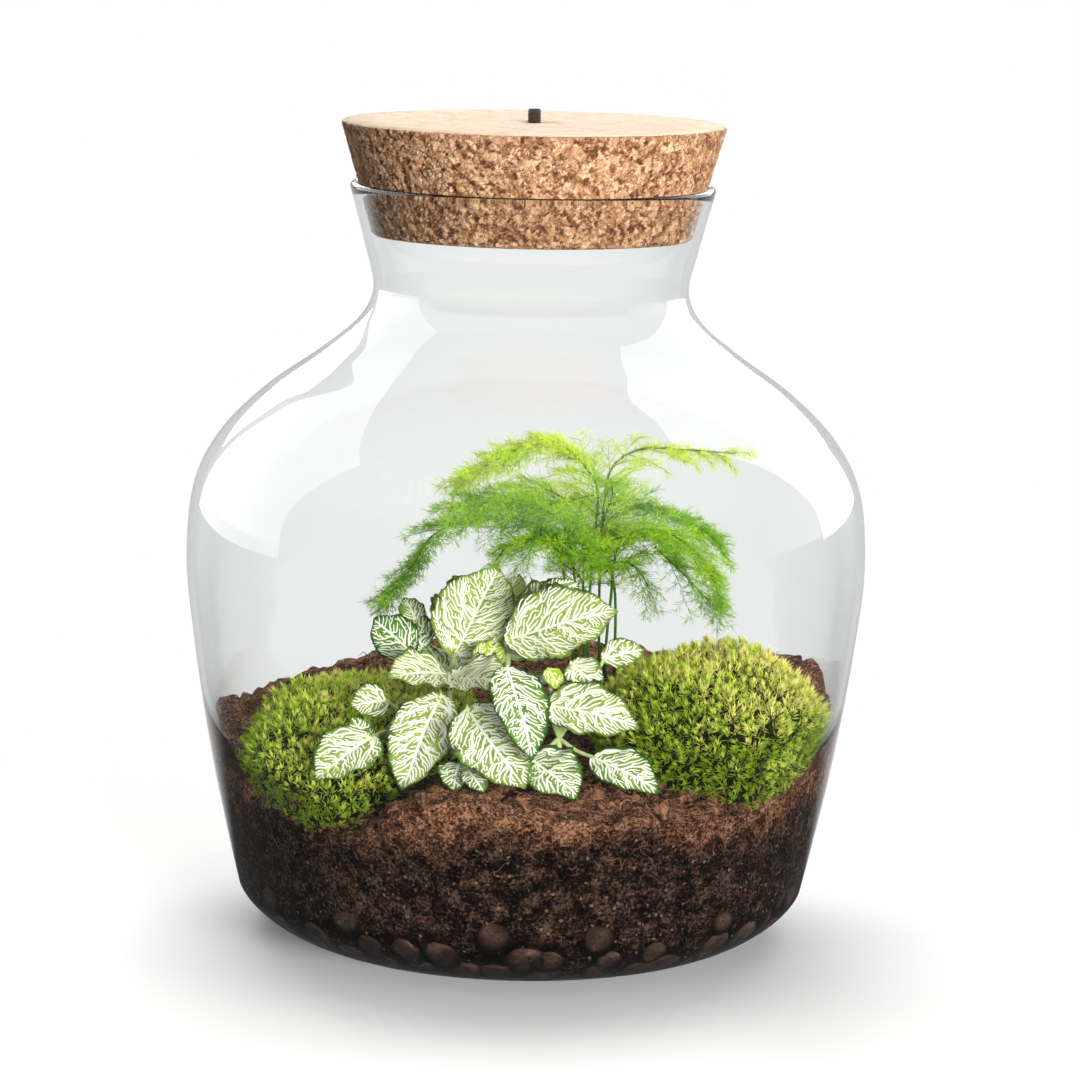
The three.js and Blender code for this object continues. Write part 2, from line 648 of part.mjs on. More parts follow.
// The twigs of one frond, each turned until it is clear of the other plants and fronds
function frondTwigs(midrib, name, index, obstacles) {
  const random = seeded(FROND.firstSeed + index);
  const pieces = [];
  const up = new THREE.Vector3(0, 0, 1);
  for (let i = 0; i <= FROND.twigs; i += 1) {
    const done = i / FROND.twigs;
    const share = FROND.bareTo + (FROND.tipAt - FROND.bareTo) * done;
    const from = midrib.getPointAt(share);
    const along = midrib.getTangentAt(share);
    const upright = Math.abs(along.z) > FROND.uprightOver;
    const round = i * GOLDEN_ANGLE;
    const sideways = upright
      ? new THREE.Vector3(Math.cos(round), Math.sin(round), 0)
      : new THREE.Vector3().crossVectors(along, up).normalize();
    const length = FROND.longTwig + (FROND.shortTwig - FROND.longTwig) * done;
    for (let attempt = 0; attempt < TWIG.tries; attempt += 1) {
      const spread = (i === FROND.twigs ? TWIG.tipSideways : TWIG.sideways) * (i % 2 ? 1 : -1);
      const heading = along.clone()
        .multiplyScalar(upright ? TWIG.forwardsOnUpright : TWIG.forwards)
        .addScaledVector(sideways, spread)
        .addScaledVector(up, random() - TWIG.mostDown).normalize();
      const spin = random() * 2 * Math.PI;
      const room = solid(twigGeometry(from, heading, length, spin, GAP));
      if (overlaps(room, obstacles, name)) continue;
      pieces.push(solid(twigGeometry(from, heading, length, spin)));
      break;
    }
  }
  return pieces;
}

// Assembly

const terrarium = new THREE.Group();

function add(name, geometry, colour, roughness, extra = {}) {
  const material = new THREE.MeshStandardMaterial({
    color: colour, roughness, metalness: 0, ...extra,
  });
  const mesh = new THREE.Mesh(weld(geometry), material);
  mesh.name = name;
  terrarium.add(mesh);
}

add('glass_jar', jarGeometry(), COLOURS.glass, 0.05, { transparent: true, opacity: 0.3 });
add('cork_stopper', corkGeometry(), COLOURS.cork, 0.95);
add('lamp_housing', lampHousingGeometry(), COLOURS.lampBody, 0.5);
add('lamp_led_board', geometryOf(ledBoard()), COLOURS.ledBoard, 0.6);
add('lamp_lens', lampLensGeometry(), COLOURS.lens, 0.35);
add('lamp_inlet', inletGeometry(), COLOURS.inlet, 0.6);
add('drainage_pebbles', pebbleGeometry(), COLOURS.clay, 0.95);

const wholeSoil = solid(soilGeometry());
const holes = join([
  ...FITTONIA.map(({ root }) => stemHole(root, FITTONIA_STEM.radius)),
  ...FRONDS.map(({ run }) => stemHole(run[0], FROND.stem)),
]);
add('soil', geometryOf(wholeSoil.subtract(holes)), COLOURS.soil, 1);

const obstacles = [];
const block = (piece, owner) => {
  obstacles.push({ solid: piece, box: piece.boundingBox(), owner });
};
const underMoss = wholeSoil.translate([0, 0, GAP]);
for (const cushion of MOSS) {
  const moss = largestBody(solid(mossGeometry(cushion)).subtract(underMoss).subtract(holes));
  add(cushion.name, geometryOf(moss), cushion.colour, 0.9);
  block(moss, cushion.name);
}
for (const shoot of FITTONIA) {
  const plant = fittoniaShoot(shoot);
  add(shoot.name, geometryOf(plant), COLOURS.leaf, 0.55);
  block(plant, shoot.name);
}
const fern = FRONDS.map((layout, index) => {
  const name = `asparagus_frond_${index + 1}`;
  const midrib = frondMidrib(layout);
  const stem = midribSolid(midrib);
  block(stem, name);
  return { name, midrib, stem };
});
fern.forEach(({ name, midrib, stem }, index) => {
  const twigs = frondTwigs(midrib, name, index, obstacles);
  twigs.forEach((twig) => block(twig, name));
  add(name, geometryOf(largestBody(join([stem, ...twigs]))), COLOURS.fern, 0.7);
});

export default terrarium;
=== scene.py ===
"""A closed glass terrarium under a softly lit studio sky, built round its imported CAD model.

Shapes are worked out in millimetres, +Z up, and go to Blender in metres.
"""

import itertools
import math

import bpy
import numpy as np
from mathutils import Matrix, Vector


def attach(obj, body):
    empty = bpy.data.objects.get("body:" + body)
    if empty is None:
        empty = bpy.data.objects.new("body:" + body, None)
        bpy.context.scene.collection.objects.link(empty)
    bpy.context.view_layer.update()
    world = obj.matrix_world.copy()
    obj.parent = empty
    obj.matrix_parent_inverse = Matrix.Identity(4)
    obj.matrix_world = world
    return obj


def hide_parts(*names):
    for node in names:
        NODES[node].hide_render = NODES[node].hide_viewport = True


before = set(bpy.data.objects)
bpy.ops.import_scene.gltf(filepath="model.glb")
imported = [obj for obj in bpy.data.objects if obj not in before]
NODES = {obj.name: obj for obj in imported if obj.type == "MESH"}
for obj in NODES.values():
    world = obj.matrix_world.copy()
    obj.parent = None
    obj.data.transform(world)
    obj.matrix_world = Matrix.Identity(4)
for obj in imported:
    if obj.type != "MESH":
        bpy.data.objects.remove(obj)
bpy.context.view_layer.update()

MM = 0.001

# The jar, as radius and height of its outside
WALL_OUTSIDE = [
    (104.9, 20.6), (107.3, 30.7), (115.0, 66.9), (122.1, 111.5), (125.0, 143.0), (121.9, 170.0),
    (113.0, 186.8), (96.2, 203.5), (76.4, 217.5), (62.1, 230.0), (57.7, 240.0), (61.0, 256.5),
    (66.6, 277.4),
]
GLASS_WALL = 2.8
FOOT_WALL = 5.6
FOOT_WALL_FADES = (52, 86)
GLASS_FLOOR = 4.4
HEEL_REACH, HEEL_FULLNESS = 31.4, 4 / 3
SEAT_GAP = 0.3

# Cork, lamp and inlet
CORK_BOTTOM, CORK_TOP = 261.0, 301.4
CORK_BOTTOM_RADIUS, CORK_TOP_RADIUS = 58.7, 70.3
LAMP_RADIUS, LAMP_DEPTH, LAMP_WALL = 32.0, 13.0, 2.0
BEZEL_RADIUS, BEZEL_THICKNESS = 35.0, 1.6
LENS_THICKNESS = 2.4
INLET_RADIUS, INLET_HEIGHT = 2.6, 5.0

# Soil surface: slope, then heaps and dips as x, y, height and spread
PEBBLE_TOP = 25.2
SOIL_LEVEL, SOIL_SLOPE_X, SOIL_SLOPE_Y = 76.0, 0.02, 0.1
SOIL_HEAPS = [
    (-25, -108, 9, 25), (80, -78, -5, 40), (112, 38, 15, 42), (-115, -2, 10, 30),
    (-72, -76, -11, 34), (30, -90, 3, 13), (-20, 100, 3, 40),
]

# How far soil and stones reach into the glass wall, and how far above the jar's floor they begin
SOIL_PRESSED, STONE_PRESSED, FOOT_CLEAR = 0.7, 1.3, 1.7

# Fittonia: each leaf as base, tip, width, way its face looks, white share, depth of green, and youth
UP_FRONT, UP, UP_BACK = (0, -0.75, 0.66), (0, -0.15, 1), (0, 0.5, 0.8)
FITTONIA = {
    "fittonia_shoot_1": ((-27, -29, 101), [
        ((-26, -25, 108), (-9.5, 1, 136.5), 31, UP_FRONT, 0.1, 0.15),
        ((-27, -35, 104), (-48.5, -50, 105), 22, (0.1, -0.5, 0.85), 0.4, 0.1),
        ((-27, -37, 103), (-5, -54, 104), 23, (0, -0.55, 0.85), 0.4, 0.1),
        ((-40, -24, 108), (-55.5, -13, 119.5), 17, (-0.2, -0.8, 0.5), 0.0, 0.9),
        ((-36.5, -20, 109.5), (-45.5, -3, 118.5), 16, UP_FRONT, 0.1, 0.8),
        ((-31, -20, 99), (-50, 9, 103), 21, UP, 0.0, 0.3),
        ((-24, -18, 100), (-28, 20, 102), 24, UP_BACK, 0.0, 0.3),
        ((-39, -10, 115.5), (-44.5, 2, 125), 10, UP_FRONT, 0.2, 0.4),
        ((-16, -34, 105), (-9, -24, 114), 12, UP_FRONT, 0.1, 0.1, 0.6),
    ]),
    "fittonia_shoot_2": ((-6, -26, 110), [
        ((-10.5, -17, 114.5), (-2.5, 7, 133.5), 17, (-0.3, -0.8, 0.5), 0.1, 0.0, 0.25),
        ((-7, -29, 115.5), (34, -30, 127), 29, (-0.1, -0.82, 0.55), 0.1, 0.2),
        ((-1.5, -20, 121), (19.5, -2, 130.5), 19, UP_FRONT, 0.3, 0.3),
        ((-2, -18, 106), (4, 19, 105), 22, UP_BACK, 0.0, 0.3),
        ((2, -14, 97), (17, 8, 90), 17, UP, 0.0, 0.4),
        ((-9.5, -27, 104.5), (-13.5, -20, 116.5), 8, UP_FRONT, 0.0, 0.0, 0.9),
        ((5, -14, 126), (20, -6, 133), 12, UP_FRONT, 0.2, 0.4),
    ]),
    "fittonia_shoot_3": ((-40, -52, 92), [
        ((-29, -55, 100.5), (-42, -82, 69), 25, (-0.15, -0.8, 0.6), 0.3, 0.2),
        ((-52.5, -64, 87), (-72, -80, 72.5), 23, (-0.1, -0.7, 0.75), 0.35, 0.3),
        ((-48.5, -47, 96), (-62, -51, 94.5), 15, (-0.2, -0.8, 0.6), 0.35, 0.3),
        ((-54, -60, 83), (-61, -62, 93), 9, (-0.3, -0.8, 0.5), 0.1, 0.4),
    ]),
    "fittonia_shoot_4": ((-14, -64, 92), [
        ((-20, -68, 98.5), (1, -93, 73.5), 29, (-0.1, -0.8, 0.65), 0.25, 0.35),
        ((-6, -66, 113), (3.5, -93, 84.5), 21, (0.2, -0.75, 0.6), 0.15, 0.7),
        ((-22, -76, 79.5), (-24, -93, 72), 14, UP_FRONT, 0.2, 0.6),
        ((-19, -84, 79), (-13, -96, 72.5), 10, UP_FRONT, 0.2, 0.5),
    ]),
    "fittonia_shoot_5": ((13, -60, 86), [
        ((7.5, -60, 98.5), (41.5, -66, 91.5), 23, (0, -0.7, 0.72), 0.35, 0.3),
        ((2, -72, 82), (20, -91, 70), 23, (0.1, -0.8, 0.6), 0.35, 0.6),
        ((25, -67, 81), (48.5, -80, 70), 19, (0.15, -0.75, 0.65), 0.35, 0.6),
        ((16.5, -44, 110.5), (28, -53, 102), 14, UP_FRONT, 0.5, 0.2),
        ((28, -42, 111.5), (43.5, -38, 114.5), 12, (-0.3, -0.8, 0.5), 0.4, 0.2),
        ((8.5, -50, 109.5), (13.5, -56, 102.5), 7, UP_FRONT, 0.0, 0.1, 0.8),
    ]),
}
LEAF_ARCH, LEAF_DISH, LEAF_RIPPLE, LEAF_RIPPLES = 0.1, 0.1, 0.035, 3.5

# Its veins, in millimetres: length of a step, gap between neighbours, gap between side veins, width
# of a vein 1 mm from its end, how it grows with what hangs on it, and the midrib's width
VEIN_STEP, VEIN_GAP, VEIN_PAIR_GAP = 0.45, 1.12, 3.9
VEIN_WIDTH, VEIN_TAPER, RIB_WIDTH = 0.38, 0.25, 0.95

# Asparagus fern: each frond as the run of its midrib from the soil, how lime its colour is and its
# fullness, then its side runs, each with a colour and fullness of its own
FRONDS = [
    [([(24, 26), (24, 26, 118), (26, 28, 147), (26, 30, 164), (20, 33, 173), (8, 34, 179), (-7, 32, 176),
       (-25, 29, 166)], 0.85, 1.5),
     ([(25, 30, 161), (15, 26, 160), (7, 22, 164), (-3, 18, 165)], 0.65, 0.8)],
    [([(29, 31), (28, 31, 118), (29, 34, 156), (32, 37, 171), (42, 39, 177), (61, 42, 177), (79, 43, 176)],
      0.95, 0.55)],
    [([(30, 24), (32, 23, 120), (36, 18, 146), (48, 12, 151), (61, 7, 145), (68, 5, 136), (72, 4, 127)],
      0.55, 1.2),
     ([(28, 24, 130), (35, 18, 137), (41, 14, 136), (46, 12, 129)], 0.3, 0.35),
     ([(48, 12, 144), (58, 10, 135), (64, 9, 129), (69, 8, 124)], 0.3, 0.25)],
    [([(19, 23), (16, 22, 122), (8, 20, 148), (-12, 15, 154), (-34, 8, 148), (-42, 6, 136), (-52, 5, 123)],
      0.25, 1.1)],
    [([(21, 19), (19, 16, 124), (14, 8, 152), (3, 0, 161), (-12, -7, 163), (-27, -14, 162)], 0.35, 1.3),
     ([(21, 18, 130), (11, 15, 143), (0, 13, 146), (-7, 12, 143), (-11, 12, 138)], 0.6, 0.9),
     ([(24, 22, 130), (18, 18, 142), (12, 14, 148), (5, 10, 147), (0, 8, 140)], 0.35, 0.8)],
    [([(34, 29), (34, 32, 122), (30, 36, 148), (39, 42, 155), (51, 48, 154), (62, 53, 148), (73, 56, 140)],
      0.35, 1.2),
     ([(28, 29, 138), (29, 28, 152), (32, 26, 162), (31, 25, 168)], 0.55, 0.6),
     ([(29, 27, 143), (38, 30, 145), (49, 34, 143), (58, 37, 137)], 0.35, 0.8)],
    [([(23, 33), (22, 38, 122), (21, 46, 145), (14, 56, 152), (3, 64, 155), (-8, 72, 155)], 0.25, 1.0)],
]
FROND_BARE_TO = 0.42

# Moss shoots: each whorl's height on the shoot, leaves, least and most lean, and leaf length
MOSS_WHORLS = [(0.8, 6, 45, 75, 3.2), (2.0, 7, 28, 58, 3.6), (3.2, 7, 12, 42, 3.4), (3.8, 5, 2, 18, 2.8)]
MOSS_SPACING, MOSS_LEAF_WIDTH = 2.75, 0.45
# Painted light on the moss: tufts that face this way get a lighter, yellower tint.
PAINTED_LIGHT_SIDE = (0.42, 0.1, 0.9)

# Camera: place, pitch, roll and yaw in degrees, and focal length over the picture's width
CAMERA_PLACE, CAMERA_TURNS, CAMERA_FOCUS = (0, -1.6, 0.408), (9.24, 1.15, 0.182), 4391 / 1080

# The room: what reflections find before, behind and above the jar, and the light from all round
ROOM_FRONT = (0.07, 0.07, 0.07, 1)
ROOM_BACK = (0.72, 0.72, 0.72, 1)
ROOM_ABOVE = (0.4, 0.4, 0.4, 1)
ROOM_FILL = (0.25, 0.25, 0.25, 1)


# Numbers

def unit(vectors):
    return vectors / np.maximum(np.linalg.norm(vectors, axis=-1, keepdims=True), 1e-9)


def smooth_step(low, high, value):
    share = np.clip((value - low) / (high - low), 0, 1)
    return share * share * (3 - 2 * share)


def polar(radius, turn, z):
    """Points by their distance from the axis, turn round it and height."""
    return np.stack([radius * np.cos(turn), radius * np.sin(turn), z], -1)


LATTICE = np.random.default_rng(3).random((32, 32, 32))


def noise(points, size):
    """Smooth noise from -1 to 1 with features about as large as size."""
    scaled = np.asarray(points, float) / size
    cell = np.floor(scaled).astype(int)
    part = scaled - cell
    part = part * part * (3 - 2 * part)
    total = 0
    for corner in itertools.product((0, 1), repeat=3):
        weight = np.prod(np.where(corner, part, 1 - part), axis=-1)
        x, y, z = np.moveaxis((cell + corner) % 32, -1, 0)
        total = total + weight * LATTICE[x, y, z]
    return 2 * total - 1


def cells(points, size):
    """Grains of about this size: how deep each point lies in its grain, and the grain's own number."""
    scaled = np.asarray(points, float) / size
    cell = np.floor(scaled).astype(int)
    nearest, second = np.full(len(scaled), 9.0), np.full(len(scaled), 9.0)
    number = np.zeros(len(scaled))
    for offset in itertools.product((-1, 0, 1), repeat=3):
        x, y, z = np.moveaxis((cell + offset) % 32, -1, 0)
        own = LATTICE[x, y, z]
        centre = cell + offset + np.stack([own, LATTICE[y, z, x], LATTICE[z, x, y]], -1)
        away = np.linalg.norm(scaled - centre, axis=-1)
        closer = away < nearest
        second = np.where(closer, nearest, np.minimum(second, away))
        nearest = np.where(closer, away, nearest)
        number = np.where(closer, (own * 7.31) % 1, number)
    return second - nearest, number


def spline(points, steps):
    """A centripetal Catmull-Rom curve through the points, with this many steps for each span."""
    points = np.asarray(points, float)
    ends = (2 * points[0] - points[1], 2 * points[-1] - points[-2])
    points = np.vstack([ends[0], points, ends[1]])
    curve = []
    for i in range(1, len(points) - 2):
        p0, p1, p2, p3 = points[i - 1:i + 3]
        t0 = 0
        t1 = t0 + np.linalg.norm(p1 - p0) ** 0.5
        t2 = t1 + np.linalg.norm(p2 - p1) ** 0.5
        t3 = t2 + np.linalg.norm(p3 - p2) ** 0.5
        for t in np.linspace(t1, t2, steps, endpoint=False):
            a1 = ((t1 - t) * p0 + (t - t0) * p1) / (t1 - t0)
            a2 = ((t2 - t) * p1 + (t - t1) * p2) / (t2 - t1)
            a3 = ((t3 - t) * p2 + (t - t2) * p3) / (t3 - t2)
            b1 = ((t2 - t) * a1 + (t - t0) * a2) / (t2 - t0)
            b2 = ((t3 - t) * a2 + (t - t1) * a3) / (t3 - t1)
            curve.append(((t2 - t) * b1 + (t - t1) * b2) / (t2 - t1))
    curve.append(points[-2])
    return np.array(curve)


def along(curve, shares):
    """Points and directions at these shares of a curve's length."""
    steps = np.linalg.norm(np.diff(curve, axis=0), axis=1)
    travelled = np.concatenate([[0], np.cumsum(steps)]) / steps.sum()
    at = lambda s: np.stack([np.interp(s, travelled, curve[:, k]) for k in range(3)], -1)
    shares = np.asarray(shares, float)
    return at(shares), unit(at(np.minimum(shares + 0.01, 1)) - at(np.maximum(shares - 0.01, 0)))


# Meshes: a shape is a dict of points in millimetres, triangles, and values for each point

def shape(points, faces, **values):
    return {"points": np.asarray(points, float), "faces": np.asarray(faces, int), "values": values}


def merged(shapes):
    start, faces = 0, []
    for item in shapes:
        faces.append(item["faces"] + start)
        start += len(item["points"])
    names = {name for item in shapes for name in item["values"]}
    filled = lambda item, name: np.broadcast_to(item["values"].get(name, 0.0), len(item["points"]))
    values = {name: np.concatenate([filled(item, name) for item in shapes]) for name in names}
    return shape(np.concatenate([item["points"] for item in shapes]), np.concatenate(faces), **values)


def grid_faces(rows, columns, wrap=False):
    """Triangles of a grid of points, its columns joined in a ring if wrap."""
    row, column = np.meshgrid(np.arange(rows - 1), np.arange(columns - (not wrap)), indexing="ij")
    beside = (column + 1) % columns
    a, b = row * columns + column, row * columns + beside
    c, d = (row + 1) * columns + beside, (row + 1) * columns + column
    return np.concatenate([np.stack([a, b, c], -1), np.stack([a, c, d], -1)]).reshape(-1, 3)


def copied(faces, count, points):
    """The faces of so many copies of a shape with this number of points, one after the other."""
    return (faces[None] + points * np.arange(count)[:, None, None]).reshape(-1, 3)


def lathe(profile, segments):
    """A closed turned body. The profile runs from the axis or closes on itself, outside first."""
    profile = np.asarray(profile, float)
    angle = np.linspace(0, 2 * np.pi, segments, endpoint=False)
    points = polar(profile[:, :1], angle, np.repeat(profile[:, 1:], segments, axis=1)).reshape(-1, 3)
    faces = grid_faces(len(profile), segments, wrap=True)
    if profile[0, 0] > 0:
        last = (len(profile) - 1) * segments
        faces = np.where(faces >= last, faces - last, faces)
        points = points[:last]
    return welded(points, faces)


def welded(points, faces, **values):
    """Joins points that lie together, and drops the triangles that this leaves without area."""
    keys = np.round(np.asarray(points) * 1e4).astype(np.int64)
    _, first, where = np.unique(keys, axis=0, return_index=True, return_inverse=True)
    faces = where.reshape(-1)[faces]
    real = (faces[:, 0] != faces[:, 1]) & (faces[:, 1] != faces[:, 2]) & (faces[:, 2] != faces[:, 0])
    kept = {name: np.broadcast_to(value, len(points))[first] for name, value in values.items()}
    return shape(np.asarray(points)[first], faces[real], **kept)


def tubes(paths, radii, sides=3, **values):
    """Closed tubes along many paths at once: paths is (tubes, stations, 3), radii (tubes, stations)."""
    paths = np.asarray(paths, float)
    count, stations, _ = paths.shape
    radii = np.broadcast_to(radii, (count, stations))
    tangent = unit(np.gradient(paths, axis=1))
    helper = np.where(np.abs(tangent[:, :1, 2:]) > 0.8, (1.0, 0.1, 0.0), (0.1, 0.0, 1.0))
    first = unit(np.cross(tangent, helper))
    second = np.cross(tangent, first)
    angle = np.arange(sides) * 2 * np.pi / sides
    ring = (first[:, :, None] * np.cos(angle)[:, None] + second[:, :, None] * np.sin(angle)[:, None])
    points = paths[:, :, None] + ring * radii[:, :, None, None]
    one = grid_faces(stations, sides, wrap=True)[:, ::-1]
    fan = np.array([[0, k, k + 1] for k in range(1, sides - 1)]).reshape(-1, 3)
    one = np.concatenate([one, fan, fan[:, ::-1] + (stations - 1) * sides])
    one = one[:, ::-1]
    faces = copied(one, count, stations * sides)
    spread = {k: np.broadcast_to(np.asarray(v, float).reshape(-1, 1), (count, stations * sides)).ravel()
              for k, v in values.items()}
    return shape(points.reshape(-1, 3), faces, **spread)


def needles(origins, directions, across, lengths, widths, fold=0.25, **values):
    """Slim pointed leaves of two triangles, folded along the middle. Value end is 1 at the tips."""
    lengths, widths = np.reshape(lengths, (-1, 1)), np.reshape(widths, (-1, 1))
    normal = np.cross(directions, across)
    belly = origins + directions * lengths * 0.4 + normal * widths * fold
    corners = np.stack([
        origins, belly + across * widths / 2, origins + directions * lengths, belly - across * widths / 2,
    ], 1)
    count = len(origins)
    faces = copied(np.array([[0, 1, 2], [0, 2, 3]]), count, 4)
    spread = {k: np.repeat(np.broadcast_to(v, count), 4) for k, v in values.items()}
    return shape(corners.reshape(-1, 3), faces, end=np.tile([0.0, 0.5, 1.0, 0.5], count), **spread)


def around(axes, random, least, most):
    """A direction round each axis, leaning off it by an angle between least and most degrees."""
    helper = np.where(np.abs(axes[:, 2:]) > 0.8, (1.0, 0.0, 0.0), (0.0, 0.0, 1.0))
    first = unit(np.cross(axes, helper))
    second = np.cross(axes, first)
    turn = random.random((len(axes), 1)) * 2 * np.pi
    lean = np.radians(least + (most - least) * random.random((len(axes), 1)))
    out = first * np.cos(turn) + second * np.sin(turn)
    directions = axes * np.cos(lean) + out * np.sin(lean)
    return directions, unit(np.cross(directions, axes))


def added(name, data):
    """A new object in the scene."""
    made = bpy.data.objects.new(name, data)
    bpy.context.scene.collection.objects.link(made)
    return made


def piece(name, item, materials, stands_for=(), flat=False, second=None):
    """A Blender object of a shape, riding on the body. second marks the triangles of material 2."""
    mesh = bpy.data.meshes.new(name)
    points, faces = item["points"], item["faces"]
    mesh.vertices.add(len(points))
    mesh.vertices.foreach_set("co", (points * MM).astype(np.float32).ravel())
    mesh.loops.add(faces.size)
    mesh.loops.foreach_set("vertex_index", faces.astype(np.int32).ravel())
    mesh.polygons.add(len(faces))
    mesh.polygons.foreach_set("loop_start", np.arange(0, faces.size, 3, dtype=np.int32))
    mesh.update(calc_edges=True)
    mesh.validate()
    mesh.polygons.foreach_set("use_smooth", np.full(len(mesh.polygons), not flat))
    for value, numbers in item["values"].items():
        layer = mesh.attributes.new(value, "FLOAT", "POINT")
        layer.data.foreach_set("value", np.asarray(numbers, np.float32))
    for material in materials:
        mesh.materials.append(material)
    if second is not None:
        mesh.polygons.foreach_set("material_index", second.astype(np.int32))
    built = added(name, mesh)
    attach(built, "root")
    if stands_for:
        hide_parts(*stands_for)


# Materials

def srgb(red, green, blue):
    return (*[(v / 255 / 12.92 if v <= 10 else ((v / 255 + 0.055) / 1.055) ** 2.4)
              for v in (red, green, blue)], 1.0)


def cleared(block):
    """The emptied node tree of a material or a world."""
    block.use_nodes = True
    block.node_tree.nodes.clear()
    return block.node_tree


def feed(tree, socket, value):
    """Links a socket to another one, or sets its number or colour."""
    if isinstance(value, bpy.types.NodeSocket):
        tree.links.new(value, socket)
    else:
        socket.default_value = value


def node(tree, kind, inputs=None, **settings):
    made = tree.nodes.new("ShaderNode" + kind)
    for name, value in settings.items():
        setattr(made, name, value)
    for name, value in (inputs or {}).items():
        feed(tree, made.inputs[name], value)
    return made


def new_material(name, inputs, glow_through=0.0):
    """A Principled shader whose inputs come from a function of the node tree. The share that glows
    through lets light from behind into a thin leaf."""
    material = bpy.data.materials.new(name)
    tree = cleared(material)
    values = inputs(tree)
    surface = node(tree, "BsdfPrincipled", values).outputs[0]
    if glow_through:
        behind = node(tree, "BsdfTranslucent", {k: values[v] for k, v in
                                                (("Color", "Base Color"), ("Normal", "Normal"))})
        surface = node(tree, "MixShader", {0: glow_through, 1: surface, 2: behind.outputs[0]}).outputs[0]
    node(tree, "OutputMaterial", {"Surface": surface})
    return material


def place(tree):
    return node(tree, "TexCoord").outputs["Object"]


def attribute(tree, name):
    return node(tree, "Attribute", attribute_name=name).outputs["Fac"]


def noise_of(tree, size, detail=4.0, vector=None, distortion=0.0, grit=0.5):
    """A noise texture with features of about this size in millimetres. Grit strengthens its fine part."""
    return node(tree, "TexNoise", {
        "Vector": vector or place(tree), "Scale": 1 / (size * MM), "Detail": detail,
        "Distortion": distortion, "Roughness": grit,
    }).outputs["Fac"]


def cells_of(tree, size, feature="F1", vector=None):
    """Voronoi cells of about this size in millimetres."""
    return node(tree, "TexVoronoi", {
        "Vector": vector or place(tree), "Scale": 1 / (size * MM),
    }, feature=feature)


def ramp(tree, factor, *stops):
    made = node(tree, "ValToRGB", {"Fac": factor})
    elements = made.color_ramp.elements
    while len(elements) < len(stops):
        elements.new(0.5)
    for element, (position, colour) in zip(elements, stops):
        element.position = position
        element.color = colour
    return made.outputs["Color"]


def math_of(tree, operation, first, second=0.0, clamp=False):
    made = node(tree, "Math", operation=operation, use_clamp=clamp)
    feed(tree, made.inputs[0], first)
    feed(tree, made.inputs[1], second)
    return made.outputs[0]


def product(tree, first, *others):
    for other in others:
        first = math_of(tree, "MULTIPLY", first, other)
    return first


def total(tree, first, second):
    return math_of(tree, "ADD", first, second)


def rescaled(tree, value, low, high):
    """The value from low to high, as 0 to 1."""
    return node(tree, "MapRange", {"Value": value, "From Min": low, "From Max": high},
                interpolation_type="SMOOTHSTEP").outputs["Result"]


def mixed(tree, factor, first, second):
    """The first colour at 0, the second at 1."""
    made = node(tree, "Mix", {0: factor, 6: first, 7: second}, data_type="RGBA")
    return made.outputs[2]


def bump_of(tree, height, depth, strength=1.0):
    """A bump whose height of 1 stands for this depth in millimetres."""
    return node(tree, "Bump", {
        "Height": height, "Distance": depth * MM, "Strength": strength,
    }).outputs["Normal"]


def glass_material():
    """Clear glass that lets the lamps' light through to what is behind it."""
    material = bpy.data.materials.new("clear_glass")
    tree = cleared(material)
    waves = noise_of(tree, 60, 1)
    glass = node(tree, "BsdfPrincipled", {
        "Base Color": (1.0, 0.996, 0.995, 1), "Roughness": 0.0, "IOR": 1.5,
        "Transmission Weight": 1.0, "Normal": bump_of(tree, waves, 0.08),
    })
    clear = node(tree, "BsdfTransparent", {"Color": (0.975, 0.98, 0.977, 1)})
    path = node(tree, "LightPath")
    both = node(tree, "MixShader", {0: path.outputs["Is Shadow Ray"], 1: glass.outputs[0],
                                    2: clear.outputs[0]})
    tint = node(tree, "VolumeAbsorption", {"Color": (0.2, 0.85, 0.68, 1), "Density": 8.0})
    unshaded = node(tree, "MixShader", {0: path.outputs["Is Shadow Ray"], 1: tint.outputs[0]})
    node(tree, "OutputMaterial", {"Surface": both.outputs[0], "Volume": unshaded.outputs[0]})
    return material


